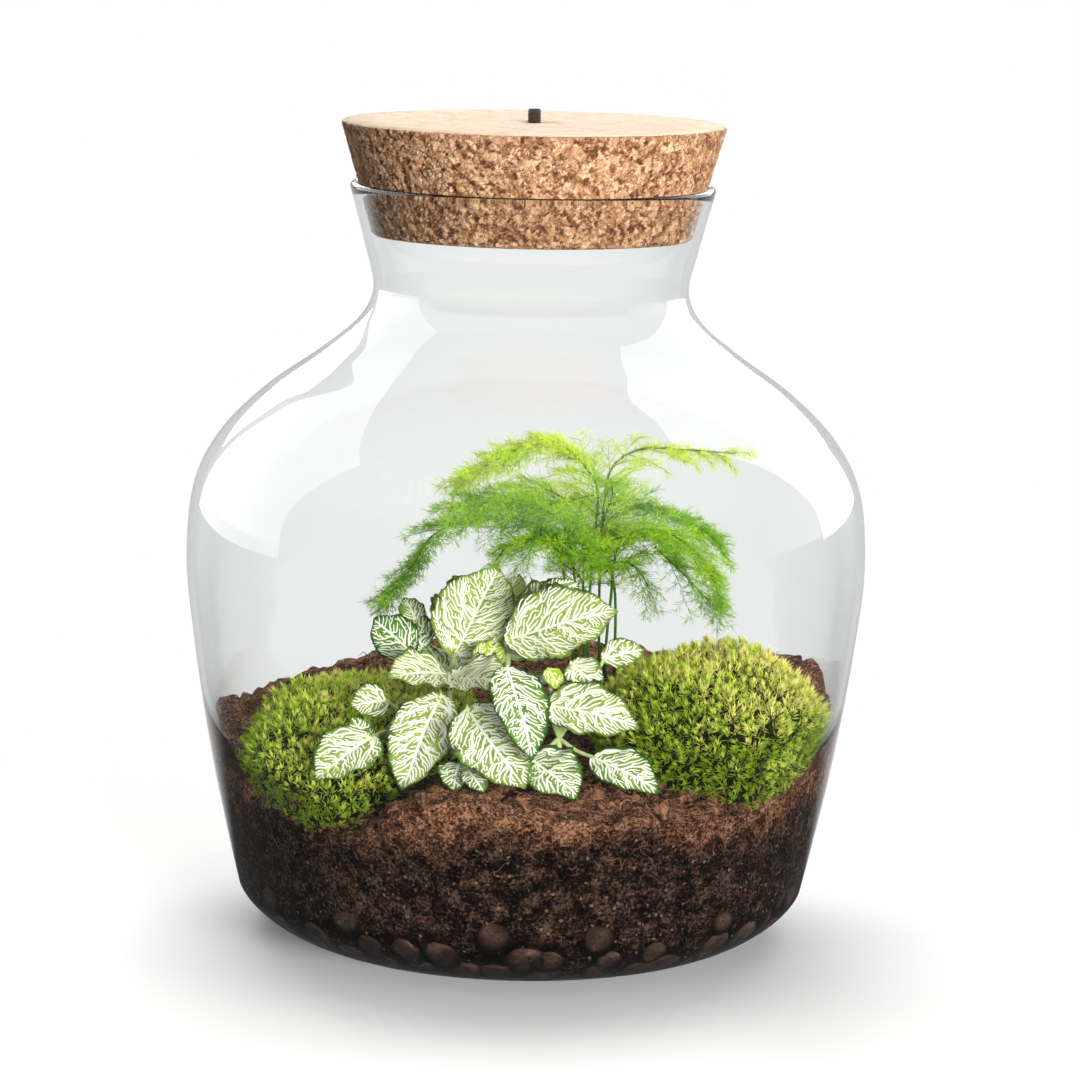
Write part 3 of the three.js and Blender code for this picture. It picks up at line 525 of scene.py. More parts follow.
def cork_material():
    """Pressed cork: tone is a granule's own shade, pit is 1 down in a crevice, where the colour is darkened
    as painted shade.
    """
    def inputs(tree):
        where = place(tree)
        fine = noise_of(tree, 0.8, 6, distortion=0.5, grit=0.7)
        tone = total(tree, product(tree, attribute(tree, "tone"), 0.3), product(tree, fine, 0.9))
        side = ramp(tree, tone, (0.36, srgb(84, 50, 32)), (0.48, srgb(150, 104, 72)),
                    (0.62, srgb(192, 146, 108)), (0.8, srgb(236, 200, 162)))
        cracks = cells_of(tree, 2.1, "DISTANCE_TO_EDGE", moved(tree, where, 0.0016)).outputs["Distance"]
        broken = rescaled(tree, noise_of(tree, 2.6, 3), 0.42, 0.56)
        crack = product(tree, rescaled(tree, cracks, 0.09, 0.01), broken, 0.8)
        side = mixed(tree, crack, side, srgb(82, 48, 30))
        # Painted shade: the side is darker the deeper a point is sunk into a crevice.
        pit = rescaled(tree, attribute(tree, "pit"), 0.35, 0.95)
        side = mixed(tree, product(tree, pit, 0.85), side, srgb(84, 50, 34))
        streaks = node(tree, "Mapping", {"Vector": where, "Scale": (0.3, 1.0, 1.0)})
        pale = ramp(tree, noise_of(tree, 1.6, 6, streaks.outputs[0], grit=0.65),
                    (0.34, srgb(190, 152, 118)), (0.46, srgb(214, 189, 163)), (0.66, srgb(230, 213, 194)))
        crevices = cells_of(tree, 2.8, "DISTANCE_TO_EDGE", moved(tree, where, 0.0024))
        crevice = rescaled(tree, crevices.outputs["Distance"], 0.07, 0.0)
        pale = mixed(tree, product(tree, crevice, 0.35), pale, srgb(176, 128, 90))
        height = node(tree, "SeparateXYZ", {"Vector": where}).outputs["Z"]
        on_top = rescaled(tree, height, (CORK_TOP - 0.5) * MM, (CORK_TOP - 0.1) * MM)
        relief = product(tree, fine, math_of(tree, "SUBTRACT", 1.05, on_top))
        return {"Base Color": mixed(tree, on_top, side, pale), "Roughness": 0.92,
                "Specular IOR Level": 0.25, "Normal": bump_of(tree, relief, 0.6)}
    return new_material("pressed_cork", inputs)


def moved(tree, where, reach):
    """A place shaken by noise, so that cells get ragged outlines. reach is in metres."""
    shake = node(tree, "TexNoise", {"Vector": where, "Scale": 420.0, "Detail": 3.0}).outputs["Color"]
    centred = node(tree, "VectorMath", {0: shake, 1: (0.5, 0.5, 0.5)}, operation="SUBTRACT").outputs[0]
    scaled = node(tree, "VectorMath", {0: centred, "Scale": reach}, operation="SCALE").outputs[0]
    return node(tree, "VectorMath", {0: where, 1: scaled}, operation="ADD").outputs[0]


def plain_material(name, colour, rough, speck=0.08, size=2.0, extra=None):
    """A moulded or painted finish whose tone varies a little, with a faint bump."""
    def inputs(tree):
        tone = noise_of(tree, size, 5)
        dark = tuple(c * (1 - speck) for c in colour[:3]) + (1.0,)
        base = ramp(tree, tone, (0.35, dark), (0.65, colour))
        return {"Base Color": base, "Roughness": rough, "Normal": bump_of(tree, tone, 0.02), **(extra or {})}
    return new_material(name, inputs)


def clay_material():
    """Fired clay with painted shade: shade is 1 where a stone faces the glass and on its top, falling to 0 at
    its rim and on the bed in the gaps, where the clay goes nearly black.
    """
    def inputs(tree):
        tone = noise_of(tree, 6, 6)
        base = ramp(tree, tone, (0.3, srgb(44, 31, 26)), (0.55, srgb(72, 53, 45)),
                    (0.75, srgb(112, 86, 73)))
        dust = rescaled(tree, noise_of(tree, 1.4, 8, grit=0.8), 0.49, 0.6)
        base = mixed(tree, dust, base, srgb(34, 22, 17))
        # Painted shade: where shade is 0 the clay goes nearly black.
        base = mixed(tree, attribute(tree, "shade"), srgb(12, 7, 5), base)
        return {"Base Color": base, "Roughness": 0.85, "Normal": bump_of(tree, noise_of(tree, 1.1, 6), 0.5)}
    return new_material("fired_clay", inputs)


def soil_material():
    """Peat: rusty near its surface and darker below, with pores, crumbs of other tones and fibres, and
    painted shade round the stones.
    """
    def inputs(tree):
        where = place(tree)
        height = node(tree, "SeparateXYZ", {"Vector": where}).outputs["Z"]
        wander = product(tree, math_of(tree, "SUBTRACT", noise_of(tree, 22, 3), 0.5), 0.03)
        high = rescaled(tree, total(tree, height, wander), 0.052, 0.070)
        crumbs = noise_of(tree, 1.2, 8, distortion=0.4, grit=0.8)
        clumps = noise_of(tree, 6, 4, grit=0.6)
        tone = total(tree, product(tree, crumbs, 0.74), product(tree, clumps, 0.26))
        deep = ramp(tree, tone, (0.45, srgb(2, 1, 1)), (0.51, srgb(26, 18, 15)), (0.57, srgb(104, 78, 64)))
        rusty = ramp(tree, tone, (0.43, srgb(18, 8, 5)), (0.5, srgb(98, 60, 41)),
                     (0.57, srgb(206, 152, 116)))
        base = mixed(tree, high, deep, rusty)
        base = mixed(tree, attribute(tree, "tint"), base, srgb(186, 134, 100))
        # Painted shade: the soil round the stones against the glass goes nearly black.
        base = mixed(tree, product(tree, attribute(tree, "gap"), 0.85), base, srgb(8, 4, 3))
        folded = math_of(tree, "SUBTRACT", noise_of(tree, 3.4, 1, distortion=2.5), 0.5)
        strands = product(tree, rescaled(tree, math_of(tree, "ABSOLUTE", folded), 0.012, 0.003),
                          rescaled(tree, noise_of(tree, 5, 2), 0.5, 0.62), 0.6)
        base = mixed(tree, strands, base, srgb(150, 112, 88))
        grain = node(tree, "SeparateColor", {"Color": cells_of(tree, 0.9).outputs["Color"]})
        flecks = rescaled(tree, grain.outputs[1], 0.985, 0.992)
        base = mixed(tree, product(tree, flecks, 0.5), base, srgb(176, 140, 114))
        return {"Base Color": base, "Roughness": 0.95, "Specular IOR Level": 0.2,
                "Normal": bump_of(tree, tone, 2.2)}
    return new_material("peat_soil", inputs)


def moss_material():
    """Moss leaves: tint runs from deep to yellow green, lighter in part as painted light on tufts that face
    the lit side; end is 1 at the tips and -1 on the core.
    """
    def inputs(tree):
        tint = attribute(tree, "tint")
        base = ramp(tree, tint, (0.0, srgb(92, 140, 2)), (0.3, srgb(158, 198, 4)),
                    (0.6, srgb(216, 230, 20)), (1.0, srgb(250, 240, 136)))
        end = attribute(tree, "end")
        tip = mixed(tree, tint, srgb(214, 232, 60), srgb(250, 246, 178))
        base = mixed(tree, rescaled(tree, end, 0.5, 0.1), base, srgb(48, 68, 4))
        base = mixed(tree, math_of(tree, "MULTIPLY", end, 0.7, clamp=True), base, tip)
        base = mixed(tree, rescaled(tree, noise_of(tree, 5, 4), 0.64, 0.74), base, srgb(150, 132, 50))
        base = mixed(tree, rescaled(tree, end, 0.0, -0.5), base, srgb(34, 40, 12))
        return {"Base Color": base, "Roughness": 0.5, "Specular IOR Level": 0.35,
                "Normal": bump_of(tree, noise_of(tree, 0.5, 3), 0.05)}
    return new_material("moss", inputs, glow_through=0.5)


def leaf_material():
    """A fittonia leaf: vein is 1 on a vein; margin is the distance to the leaf's edge; dark deepens
    the green and young turns it yellow."""
    def inputs(tree):
        margin = attribute(tree, "margin")
        dark = attribute(tree, "dark")
        young = attribute(tree, "young")
        olive = ramp(tree, noise_of(tree, 3, 4), (0.3, srgb(134, 156, 62)), (0.7, srgb(182, 196, 106)))
        deep = ramp(tree, noise_of(tree, 3, 4), (0.3, srgb(46, 104, 18)), (0.7, srgb(96, 148, 42)))
        green = mixed(tree, dark, olive, deep)
        rim = math_of(tree, "MULTIPLY", rescaled(tree, margin, 2.2, 0.3),
                      total(tree, product(tree, dark, 0.9), 0.35), clamp=True)
        green = mixed(tree, rim, green, srgb(38, 92, 26))
        green = mixed(tree, young, green, srgb(178, 206, 60))
        white = mixed(tree, young, srgb(248, 248, 230), srgb(236, 244, 160))
        base = mixed(tree, attribute(tree, "vein"), green, white)
        return {"Base Color": base, "Roughness": 0.42, "Specular IOR Level": 0.4,
                "Normal": bump_of(tree, noise_of(tree, 1.3, 3), 0.2)}
    return new_material("fittonia_leaf", inputs, glow_through=0.15)


def stalk_material(name, low, high):
    def inputs(tree):
        base = ramp(tree, noise_of(tree, 2.5, 4), (0.3, low), (0.7, high))
        return {"Base Color": base, "Roughness": 0.5, "Normal": bump_of(tree, noise_of(tree, 0.7, 3), 0.08)}
    return new_material(name, inputs)


def fern_material():
    def inputs(tree):
        tint = attribute(tree, "tint")
        base = ramp(tree, tint, (0.0, srgb(58, 100, 24)), (0.3, srgb(124, 190, 34)),
                    (0.65, srgb(188, 226, 36)), (1.0, srgb(226, 238, 70)))
        base = mixed(tree, product(tree, attribute(tree, "end"), 0.25), base, srgb(214, 232, 120))
        return {"Base Color": base, "Roughness": 0.55, "Specular IOR Level": 0.3,
                "Normal": bump_of(tree, noise_of(tree, 0.6, 2), 0.04)}
    return new_material("fern_needles", inputs, glow_through=0.5)


# Jar

def wall_profile(inset):
    """The wall's outside, moved in square to itself, and further in where the wall is thicker."""
    curve = spline(WALL_OUTSIDE, 7)
    slope = unit(np.gradient(curve, axis=0))
    if inset > 0:
        fade = smooth_step(*FOOT_WALL_FADES, curve[:, 1])
        inset = (inset + (FOOT_WALL - GLASS_WALL) * (1 - fade))[:, None]
    return curve + inset * np.stack([-slope[:, 1], slope[:, 0]], -1)


def heel_profile(wall, floor):
    """The rounded heel, from the edge of the flat foot to the wall's lowest point."""
    end_radius, end_z = wall[0]
    turn = np.linspace(0, np.pi / 2, 14, endpoint=False)
    radius = end_radius - HEEL_REACH + HEEL_REACH * np.sin(turn) ** HEEL_FULLNESS
    return np.stack([radius, floor + (end_z - floor) * (1 - np.cos(turn) ** HEEL_FULLNESS)], -1)


def side_profile(inset, floor):
    wall = wall_profile(inset)
    return np.vstack([heel_profile(wall, floor), wall])


INSIDE = side_profile(GLASS_WALL, GLASS_FLOOR)


def inner_radius(z):
    return np.interp(z, INSIDE[:, 1], INSIDE[:, 0])


def build_jar():
    outer = np.vstack([[(0, 0)], side_profile(0, 0)])
    inner = np.vstack([[(0, GLASS_FLOOR)], INSIDE])
    middle, half = (outer[-1] + inner[-1]) / 2, (outer[-1] - inner[-1]) / 2
    turn = np.linspace(0, np.pi, 9)[1:-1, None]
    lip = middle + np.cos(turn) * half + np.sin(turn) * np.array([-half[1], half[0]])
    jar = lathe(np.vstack([outer, lip, inner[::-1]]), 144)
    piece("terrarium_jar", jar, [glass_material()], ["glass_jar"])


# Cork and lamp

def build_cork():
    bevel = 0.9
    recess, channel = LAMP_RADIUS + SEAT_GAP, INLET_RADIUS + SEAT_GAP
    ceiling = CORK_BOTTOM + LAMP_DEPTH + SEAT_GAP
    side_z = np.linspace(CORK_BOTTOM + bevel, CORK_TOP - bevel, 72)
    share = (side_z - CORK_BOTTOM) / (CORK_TOP - CORK_BOTTOM)
    side = np.stack([CORK_BOTTOM_RADIUS + (CORK_TOP_RADIUS - CORK_BOTTOM_RADIUS) * share, side_z], -1)
    top_radii = np.linspace(CORK_TOP_RADIUS - bevel, channel, 6)
    top = np.stack([top_radii, np.full(6, CORK_TOP)], -1)
    profile = np.vstack([
        [(channel, ceiling), (recess, ceiling), (recess, CORK_BOTTOM),
         (CORK_BOTTOM_RADIUS - bevel, CORK_BOTTOM)], side, top, [(channel, ceiling)],
    ])
    cork = lathe(profile, 700)
    points = cork["points"]
    reach = np.hypot(points[:, 0], points[:, 1])
    on_side = (reach > CORK_BOTTOM_RADIUS - 0.5) & (points[:, 2] < CORK_TOP - 0.5)
    round_it = np.arctan2(points[:, 1], points[:, 0]) * 65
    slanted = np.stack([(round_it + points[:, 2]) / 1.1, (points[:, 2] - round_it) / 1.9, reach], -1)
    slanted = slanted + 1.1 * np.stack([noise(points, 1.4), noise(points + 50, 1.4), noise(points, 3)], -1)
    depth, tone = cells(slanted, 1.7)
    pit = np.clip(1 - depth / 0.2, 0, 1) * (noise(points, 3) > -0.3)
    crumbled = np.clip(noise(points, 1.1) + 0.6 * noise(points + 20, 2.2), 0, 1)
    sunk = np.clip(0.7 * pit + 0.45 * (tone < 0.12) + 0.6 * crumbled, 0, 1.2)
    points[:, :2] *= (1 - np.where(on_side, sunk, 0) / np.maximum(reach, 1))[:, None]
    # pit carries the sinking depth, which the material darkens as painted shade.
    cork["values"] = {"tone": tone, "pit": np.where(on_side, sunk, 0)}
    piece("cork", cork, [cork_material()], ["cork_stopper"])


def build_lamp():
    under = CORK_BOTTOM - SEAT_GAP
    bottom, top = under - BEZEL_THICKNESS, CORK_BOTTOM + LAMP_DEPTH
    inside = LAMP_RADIUS - LAMP_WALL
    body = lathe([
        (0, top - LAMP_WALL), (inside, top - LAMP_WALL), (inside, bottom),
        (BEZEL_RADIUS - 0.5, bottom), (BEZEL_RADIUS, bottom + 0.5), (BEZEL_RADIUS, under),
        (LAMP_RADIUS, under), (LAMP_RADIUS, top - 0.5), (LAMP_RADIUS - 0.5, top), (0, top),
    ], 96)
    piece("lamp_cup", body, [plain_material("lamp_body", srgb(226, 226, 220), 0.45)],
          ["lamp_housing"])
    dome = np.linspace(0, 1, 12)
    lens_radius = inside - SEAT_GAP
    face = np.stack([lens_radius * dome, bottom + 0.5 * dome ** 4], -1)
    back = bottom + LENS_THICKNESS
    lens = lathe(np.vstack([face, [(lens_radius, back), (0, back)]]), 96)
    glow = {"Emission Color": srgb(255, 226, 150), "Emission Strength": 0.35}
    piece("lamp_diffuser", lens, [plain_material("lamp_lens", srgb(255, 240, 196), 0.35, extra=glow)],
          ["lamp_lens"])
    board = NODES["lamp_led_board"].data.materials
    board.clear()
    board.append(plain_material("led_board", srgb(240, 238, 226), 0.5, speck=0.3, size=0.8))


def build_inlet():
    seat = CORK_BOTTOM + LAMP_DEPTH + SEAT_GAP
    z = np.linspace(CORK_TOP, CORK_TOP + INLET_HEIGHT - 0.4, 40)
    ribs = INLET_RADIUS - 0.22 + 0.22 * np.cos((z - CORK_TOP) / INLET_HEIGHT * 2 * np.pi * 6)
    crown = CORK_TOP + INLET_HEIGHT
    profile = np.vstack([
        [(0, seat), (INLET_RADIUS, seat)], np.stack([ribs, z], -1),
        [(INLET_RADIUS - 0.4, crown), (1.1, crown), (1.1, crown - 9), (0, crown - 9)],
    ])
    piece("lamp_inlet_sleeve", lathe(profile, 48),
          [plain_material("inlet", srgb(74, 62, 54), 0.6, speck=0.4, size=0.8)], ["lamp_inlet"])


# Pebbles and soil

def ball(detail):
    """A unit sphere of triangles, split from an octahedron."""
    points = np.array([(1, 0, 0), (-1, 0, 0), (0, 1, 0), (0, -1, 0), (0, 0, 1), (0, 0, -1)], float)
    faces = np.array([(0, 2, 4), (2, 1, 4), (1, 3, 4), (3, 0, 4), (2, 0, 5), (1, 2, 5), (3, 1, 5),
                      (0, 3, 5)])
    for _ in range(detail):
        a, b, c = points[faces[:, 0]], points[faces[:, 1]], points[faces[:, 2]]
        corners = [a, b, c, a + b, b + c, c + a]
        made = unit(np.stack(corners, 1).reshape(-1, 3))
        split = np.array([(0, 3, 5), (3, 1, 4), (5, 4, 2), (3, 4, 5)])
        joined = welded(made, copied(split, len(faces), 6))
        points, faces = unit(joined["points"]), joined["faces"]
    return points, faces


def stone_places():
    """Stones against the glass: each one's turn round the axis, height, half sizes and two tilts."""
    random = np.random.default_rng(21)
    places = []
    for row, (count, height) in enumerate([(38, 5.4), (32, 10.5), (14, 17.0)]):
        for k in range(count):
            turn = 2 * np.pi * (k + 0.5 * row + 0.6 * random.random()) / count
            size = np.array([7.6, 6.4, 5.8]) * (0.72 + 0.4 * random.random()) * (0.9 + 0.2 * random.random(3))
            places.append((turn, GLASS_FLOOR + height + 1.8 * random.random(), size,
                           random.random() * 3.1, random.random() * 0.7))
    return places


def build_pebbles():
    sphere, faces = ball(3)
    bottom = GLASS_FLOOR + SEAT_GAP
    bed = [(0, bottom), (66, bottom), (72, 10), (79, 14), (86, PEBBLE_TOP), (0, PEBBLE_TOP)]
    stones = [lathe(bed, 96)]
    # Painted shade: the bed between the stones gets shade 0, so it shows nearly black.
    stones[0]["values"]["shade"] = np.zeros(len(stones[0]["points"]))
    for k, (turn, z, size, spin, lean) in enumerate(stone_places()):
        outward = np.array([math.cos(turn), math.sin(turn), 0])
        tilt = Matrix.Rotation(spin, 3, "Z") @ Matrix.Rotation(lean, 3, "X")
        stone = sphere * size * (1 + 0.10 * noise(sphere + 7 * k, 0.7))[:, None]
        stone = stone @ np.array(tilt)
        towards = unit(stone) @ outward
        stone = stone + outward * (inner_radius(z) + STONE_PRESSED - 0.5 * size.mean()) + (0, 0, z)
        stone[:, 2] = np.maximum(stone[:, 2], GLASS_FLOOR + FOOT_CLEAR)
        over = np.hypot(stone[:, 0], stone[:, 1]) / (inner_radius(stone[:, 2]) + STONE_PRESSED)
        stone[:, :2] /= np.maximum(over, 1)[:, None]
        # Painted shading: each stone is lightest where it faces the glass and on its top, as if lit from
        # there, and darker towards its rim.
        upward = unit(stone - outward * inner_radius(z) - (0, 0, z))[:, 2]
        painted_stone_light = smooth_step(0.42, 0.95, towards) + 0.35 * upward
        stones.append(shape(stone, faces, shade=np.clip(painted_stone_light, 0, 1)))
    piece("clay_pebbles", merged(stones), [clay_material()], ["drainage_pebbles"])


def soil_height(x, y):
    height = SOIL_LEVEL + SOIL_SLOPE_X * x + SOIL_SLOPE_Y * y
    for at_x, at_y, rise, spread in SOIL_HEAPS:
        height = height + rise * np.exp(-((x - at_x) ** 2 + (y - at_y) ** 2) / spread ** 2)
    return height + 1.1 * np.sin(x / 6.1 + 1.3) * np.cos(y / 5.3 - 0.4)


FIBRE_TAPER = np.array([0.6, 1, 1, 0.8, 0.4])


def stone_painted_shade(points):
    """Painted shade on the soil: 1 behind the stones by the glass and close round them, where the soil is
    painted nearly black, and 0 elsewhere.
    """
    turn, open_soil = np.arctan2(points[:, 1], points[:, 0]), np.ones(len(points))
    for stone_turn, stone_z, size, _, _ in stone_places():
        aside = (turn - stone_turn + np.pi) % (2 * np.pi) - np.pi
        off = np.hypot(aside * inner_radius(stone_z) / size[:2].mean(), (points[:, 2] - stone_z) / size[2])
        open_soil = np.minimum(open_soil, smooth_step(0.9, 1.35, off + 0.25 * noise(points, 2.0)))
    return np.where(points[:, 2] < PEBBLE_TOP, 1 - open_soil, 0)


def soil_block():
    """The soil's skirt against the glass and its rough surface, closed underneath by a cone."""
    columns, side_rows, top_rows = 400, 52, 60
    angle = np.linspace(0, 2 * np.pi, columns, endpoint=False)
    edge_z = np.full(columns, SOIL_LEVEL)
    for _ in range(4):
        edge_radius = inner_radius(edge_z) + SOIL_PRESSED
        lip = polar(edge_radius, angle, edge_z)
        edge_z = soil_height(lip[:, 0], lip[:, 1])
    lip[:, 2] = edge_z
    edge_z = edge_z + 1.6 * noise(lip, 5) + 0.8 * noise(lip, 1.8)
    skirt = np.full(columns, GLASS_FLOOR + FOOT_CLEAR)
    rows = []
    for rise in np.linspace(0, 1, side_rows):
        z = skirt + rise * (edge_z - skirt)
        radius = inner_radius(z) + SOIL_PRESSED
        at = polar(radius, angle, z)
        dent = 0.3 + 0.35 * np.clip(noise(at, 4.5) + noise(at, 1.9), -1, 1)
        dent = np.where(z < 24, SOIL_PRESSED - 0.1, dent)
        rows.append(at * np.stack([1 - dent / radius, 1 - dent / radius, np.ones(columns)], -1))
    for share in np.linspace(1, 0, top_rows)[1:]:
        at = polar(share * edge_radius, angle, np.zeros(columns))
        rough = 1.9 * noise(at, 7) + 1.3 * noise(at, 3.4) + 0.5 * noise(at, 1.6)
        blend = smooth_step(0.93, 1, share)
        at[:, 2] = (soil_height(at[:, 0], at[:, 1]) + rough) * (1 - blend) + edge_z * blend
        rows.append(at)
    points = np.concatenate([[np.repeat([(0, 0, 24)], columns, axis=0)], rows]).reshape(-1, 3)
    block = welded(points, grid_faces(side_rows + top_rows, columns, wrap=True))
    # gap holds the painted shade round the stones by the glass.
    block["values"] = {"gap": stone_painted_shade(block["points"]), "tint": np.zeros(len(block["points"]))}
    return block


def soil_crumbs(count, least, more, random):
    """Loose crumbs on the surface."""
    sphere, faces = ball(1)
    radius = (inner_radius(SOIL_LEVEL) - 1.5 - more) * np.sqrt(random.random(count))
    x, y, _ = polar(radius, random.random(count) * 2 * np.pi, radius).T
    size = least + more * random.random((count, 1, 1)) ** 2
    lumps = sphere[None] * size * (0.7 + 0.6 * random.random((count, len(sphere), 1)))
    lumps = lumps * (1, 1, 0.75) + np.stack([x, y, soil_height(x, y) + 0.8], -1)[:, None]
    tint = np.repeat(0.5 * random.random(count) ** 2, len(sphere))
    return shape(lumps.reshape(-1, 3), copied(faces, count, len(sphere)), tint=tint)


def soil_fibres(count, random):
    """Loose fibres that wind over the surface."""
    radius = (inner_radius(SOIL_LEVEL) - 5) * np.sqrt(random.random(count))
    paths = [polar(radius, random.random(count) * 2 * np.pi, radius)[:, :2]]
    heading = random.random(count) * 2 * np.pi
    for _ in range(4):
        heading = heading + 1.4 * (random.random(count) - 0.5)
        step = 0.8 + 1.5 * random.random((count, 1)) ** 2
        paths.append(paths[-1] + step * np.stack([np.cos(heading), np.sin(heading)], -1))
    paths = np.stack(paths, 1)
    inside = np.minimum(1, (inner_radius(SOIL_LEVEL) - 1.2) / np.maximum(np.linalg.norm(paths, axis=-1), 1))
    paths = paths * inside[..., None]
    lift = 0.7 + 2.4 * random.random((count, 1)) * np.sin(np.linspace(0.3, 2.9, 5))
    z = soil_height(paths[..., 0], paths[..., 1]) + lift
    width = (0.1 + 0.14 * random.random((count, 1))) * FIBRE_TAPER
    return tubes(np.concatenate([paths, z[..., None]], -1), width, 3,
                 tint=0.25 + 0.75 * random.random(count) ** 2)


def pressed_fibres(count, random):
    """Fibres that lie against the glass in the upper part of the soil."""
    share = np.linspace(0, 1, 5)
    turn = random.random((count, 1)) * 2 * np.pi + share * (random.random((count, 1)) - 0.5) * 0.09
    z = 46 + 22 * random.random((count, 1)) ** 0.6
    z = z + np.linspace(-1, 1, 5) * (random.random((count, 1)) - 0.5) * 4
    z = z + 0.7 * np.sin(5 * share + 6 * random.random((count, 1)))
    width = (0.08 + 0.1 * random.random((count, 1))) * FIBRE_TAPER
    return tubes(polar(inner_radius(z) + SOIL_PRESSED - 0.1, turn, z), width, 3,
                 tint=0.1 + 0.6 * random.random(count) ** 2)


def build_soil():
    random = np.random.default_rng(8)
    material = soil_material()
    piece("soil_bed", soil_block(), [material], ["soil"])
    loose = [soil_crumbs(2500, 0.5, 1.0, random), soil_crumbs(420, 1.4, 2.6, random),
             soil_fibres(2300, random), pressed_fibres(1100, random)]
    piece("soil_crumbs", merged(loose), [material], flat=True)


# Moss

def cad_mesh(cad_node):
    """A CAD node's points in millimetres and its triangles."""
    mesh = NODES[cad_node].data
    mesh.calc_loop_triangles()
    return np.array([v.co for v in mesh.vertices]) / MM, np.array([t.vertices for t in mesh.loop_triangles])


def surface_samples(cad_node, spacing, random):
    """Points and normals spread over the upper faces of a CAD node, in millimetres."""
    corner, index = cad_mesh(cad_node)
    a, b, c = corner[index[:, 0]], corner[index[:, 1]], corner[index[:, 2]]
    normal = np.cross(b - a, c - a)
    area = np.linalg.norm(normal, axis=1) / 2
    normal = unit(normal)
    keep = (normal[:, 2] > -0.25) & (area > 1e-3)
    a, b, c, normal, area = a[keep], b[keep], c[keep], normal[keep], area[keep]
    tries = int(area.sum() / spacing ** 2 * 9)
    pick = random.choice(len(area), tries, p=area / area.sum())
    u, v = random.random((2, tries, 1))
    flip = u + v > 1
    u, v = np.where(flip, 1 - u, u), np.where(flip, 1 - v, v)
    at = a[pick] + u * (b[pick] - a[pick]) + v * (c[pick] - a[pick])
    taken, chosen = {}, []
    for i, point in enumerate(at):
        cell = tuple((point // spacing).astype(int))
        near = (taken.get((cell[0] + dx, cell[1] + dy, cell[2] + dz))
                for dx, dy, dz in itertools.product((-1, 0, 1), repeat=3))
        if all(n is None or np.sum((n - point) ** 2) > spacing ** 2 for n in near):
            taken[cell] = point
            chosen.append(i)
    return at[chosen], normal[pick][chosen]


def build_moss(cad_node, seed, brightness):
    random = np.random.default_rng(seed)
    at, normal = surface_samples(cad_node, MOSS_SPACING, random)
    count = len(at)
    axis = unit(normal + (0, 0, 0.35) + 0.9 * (random.random((count, 3)) - 0.5))
    foot = at - axis * (1.4 + 2.6 * random.random((count, 1)))
    tall = np.where(random.random(count) < 0.012, 1.9, 1.0)[:, None]
    # Painted light: a tuft's tint is lighter the more it faces the lit side.
    tone = brightness + 0.75 * (normal @ unit(np.array(PAINTED_LIGHT_SIDE)) - 0.75) + 0.3 * noise(at, 10)
    tone = tone + 0.4 * (random.random(count) - 0.5)
    parts = []
    for level, leaves, least, most, size in MOSS_WHORLS:
        axes = np.repeat(axis, leaves, axis=0)
        directions, across = around(axes, random, least, most)
        rise = np.repeat(tall, leaves, axis=0) * (level + 0.5 * random.random((count * leaves, 1)))
        origin = np.repeat(foot, leaves, axis=0) + axes * rise
        length = size * (0.75 + 0.5 * random.random(count * leaves))
        shade = np.repeat(tone, leaves) + 0.09 * level + 0.15 * (random.random(count * leaves) - 0.5) - 0.3
        wide = MOSS_LEAF_WIDTH * (1 + 0.5 * random.random(count * leaves))
        parts.append(needles(origin, directions, across, length, wide, tint=np.clip(shade, 0, 1)))
    tufts = merged(parts)
    reach = np.hypot(tufts["points"][:, 0], tufts["points"][:, 1])
    limit = inner_radius(tufts["points"][:, 2]) - SEAT_GAP
    tufts["points"][:, :2] *= np.minimum(1, limit / np.maximum(reach, 1))[:, None]

    core, faces = cad_mesh(cad_node)
    outward = np.array([v.normal for v in NODES[cad_node].data.vertices])
    body = shape(core - 2.2 * outward, faces, tint=0.0, end=-1.0)
    piece(cad_node + "_tufts", merged([body, tufts]), [moss_material_shared], [cad_node])


# Fittonia

def leaf_half(share):
    """A leaf's half width at a share of its length, 1 at the widest, with a pointed tip."""
    return np.maximum(np.sin(np.pi * share ** 0.78), 0) ** 0.72 * (1 - 0.22 * smooth_step(0.8, 1, share))


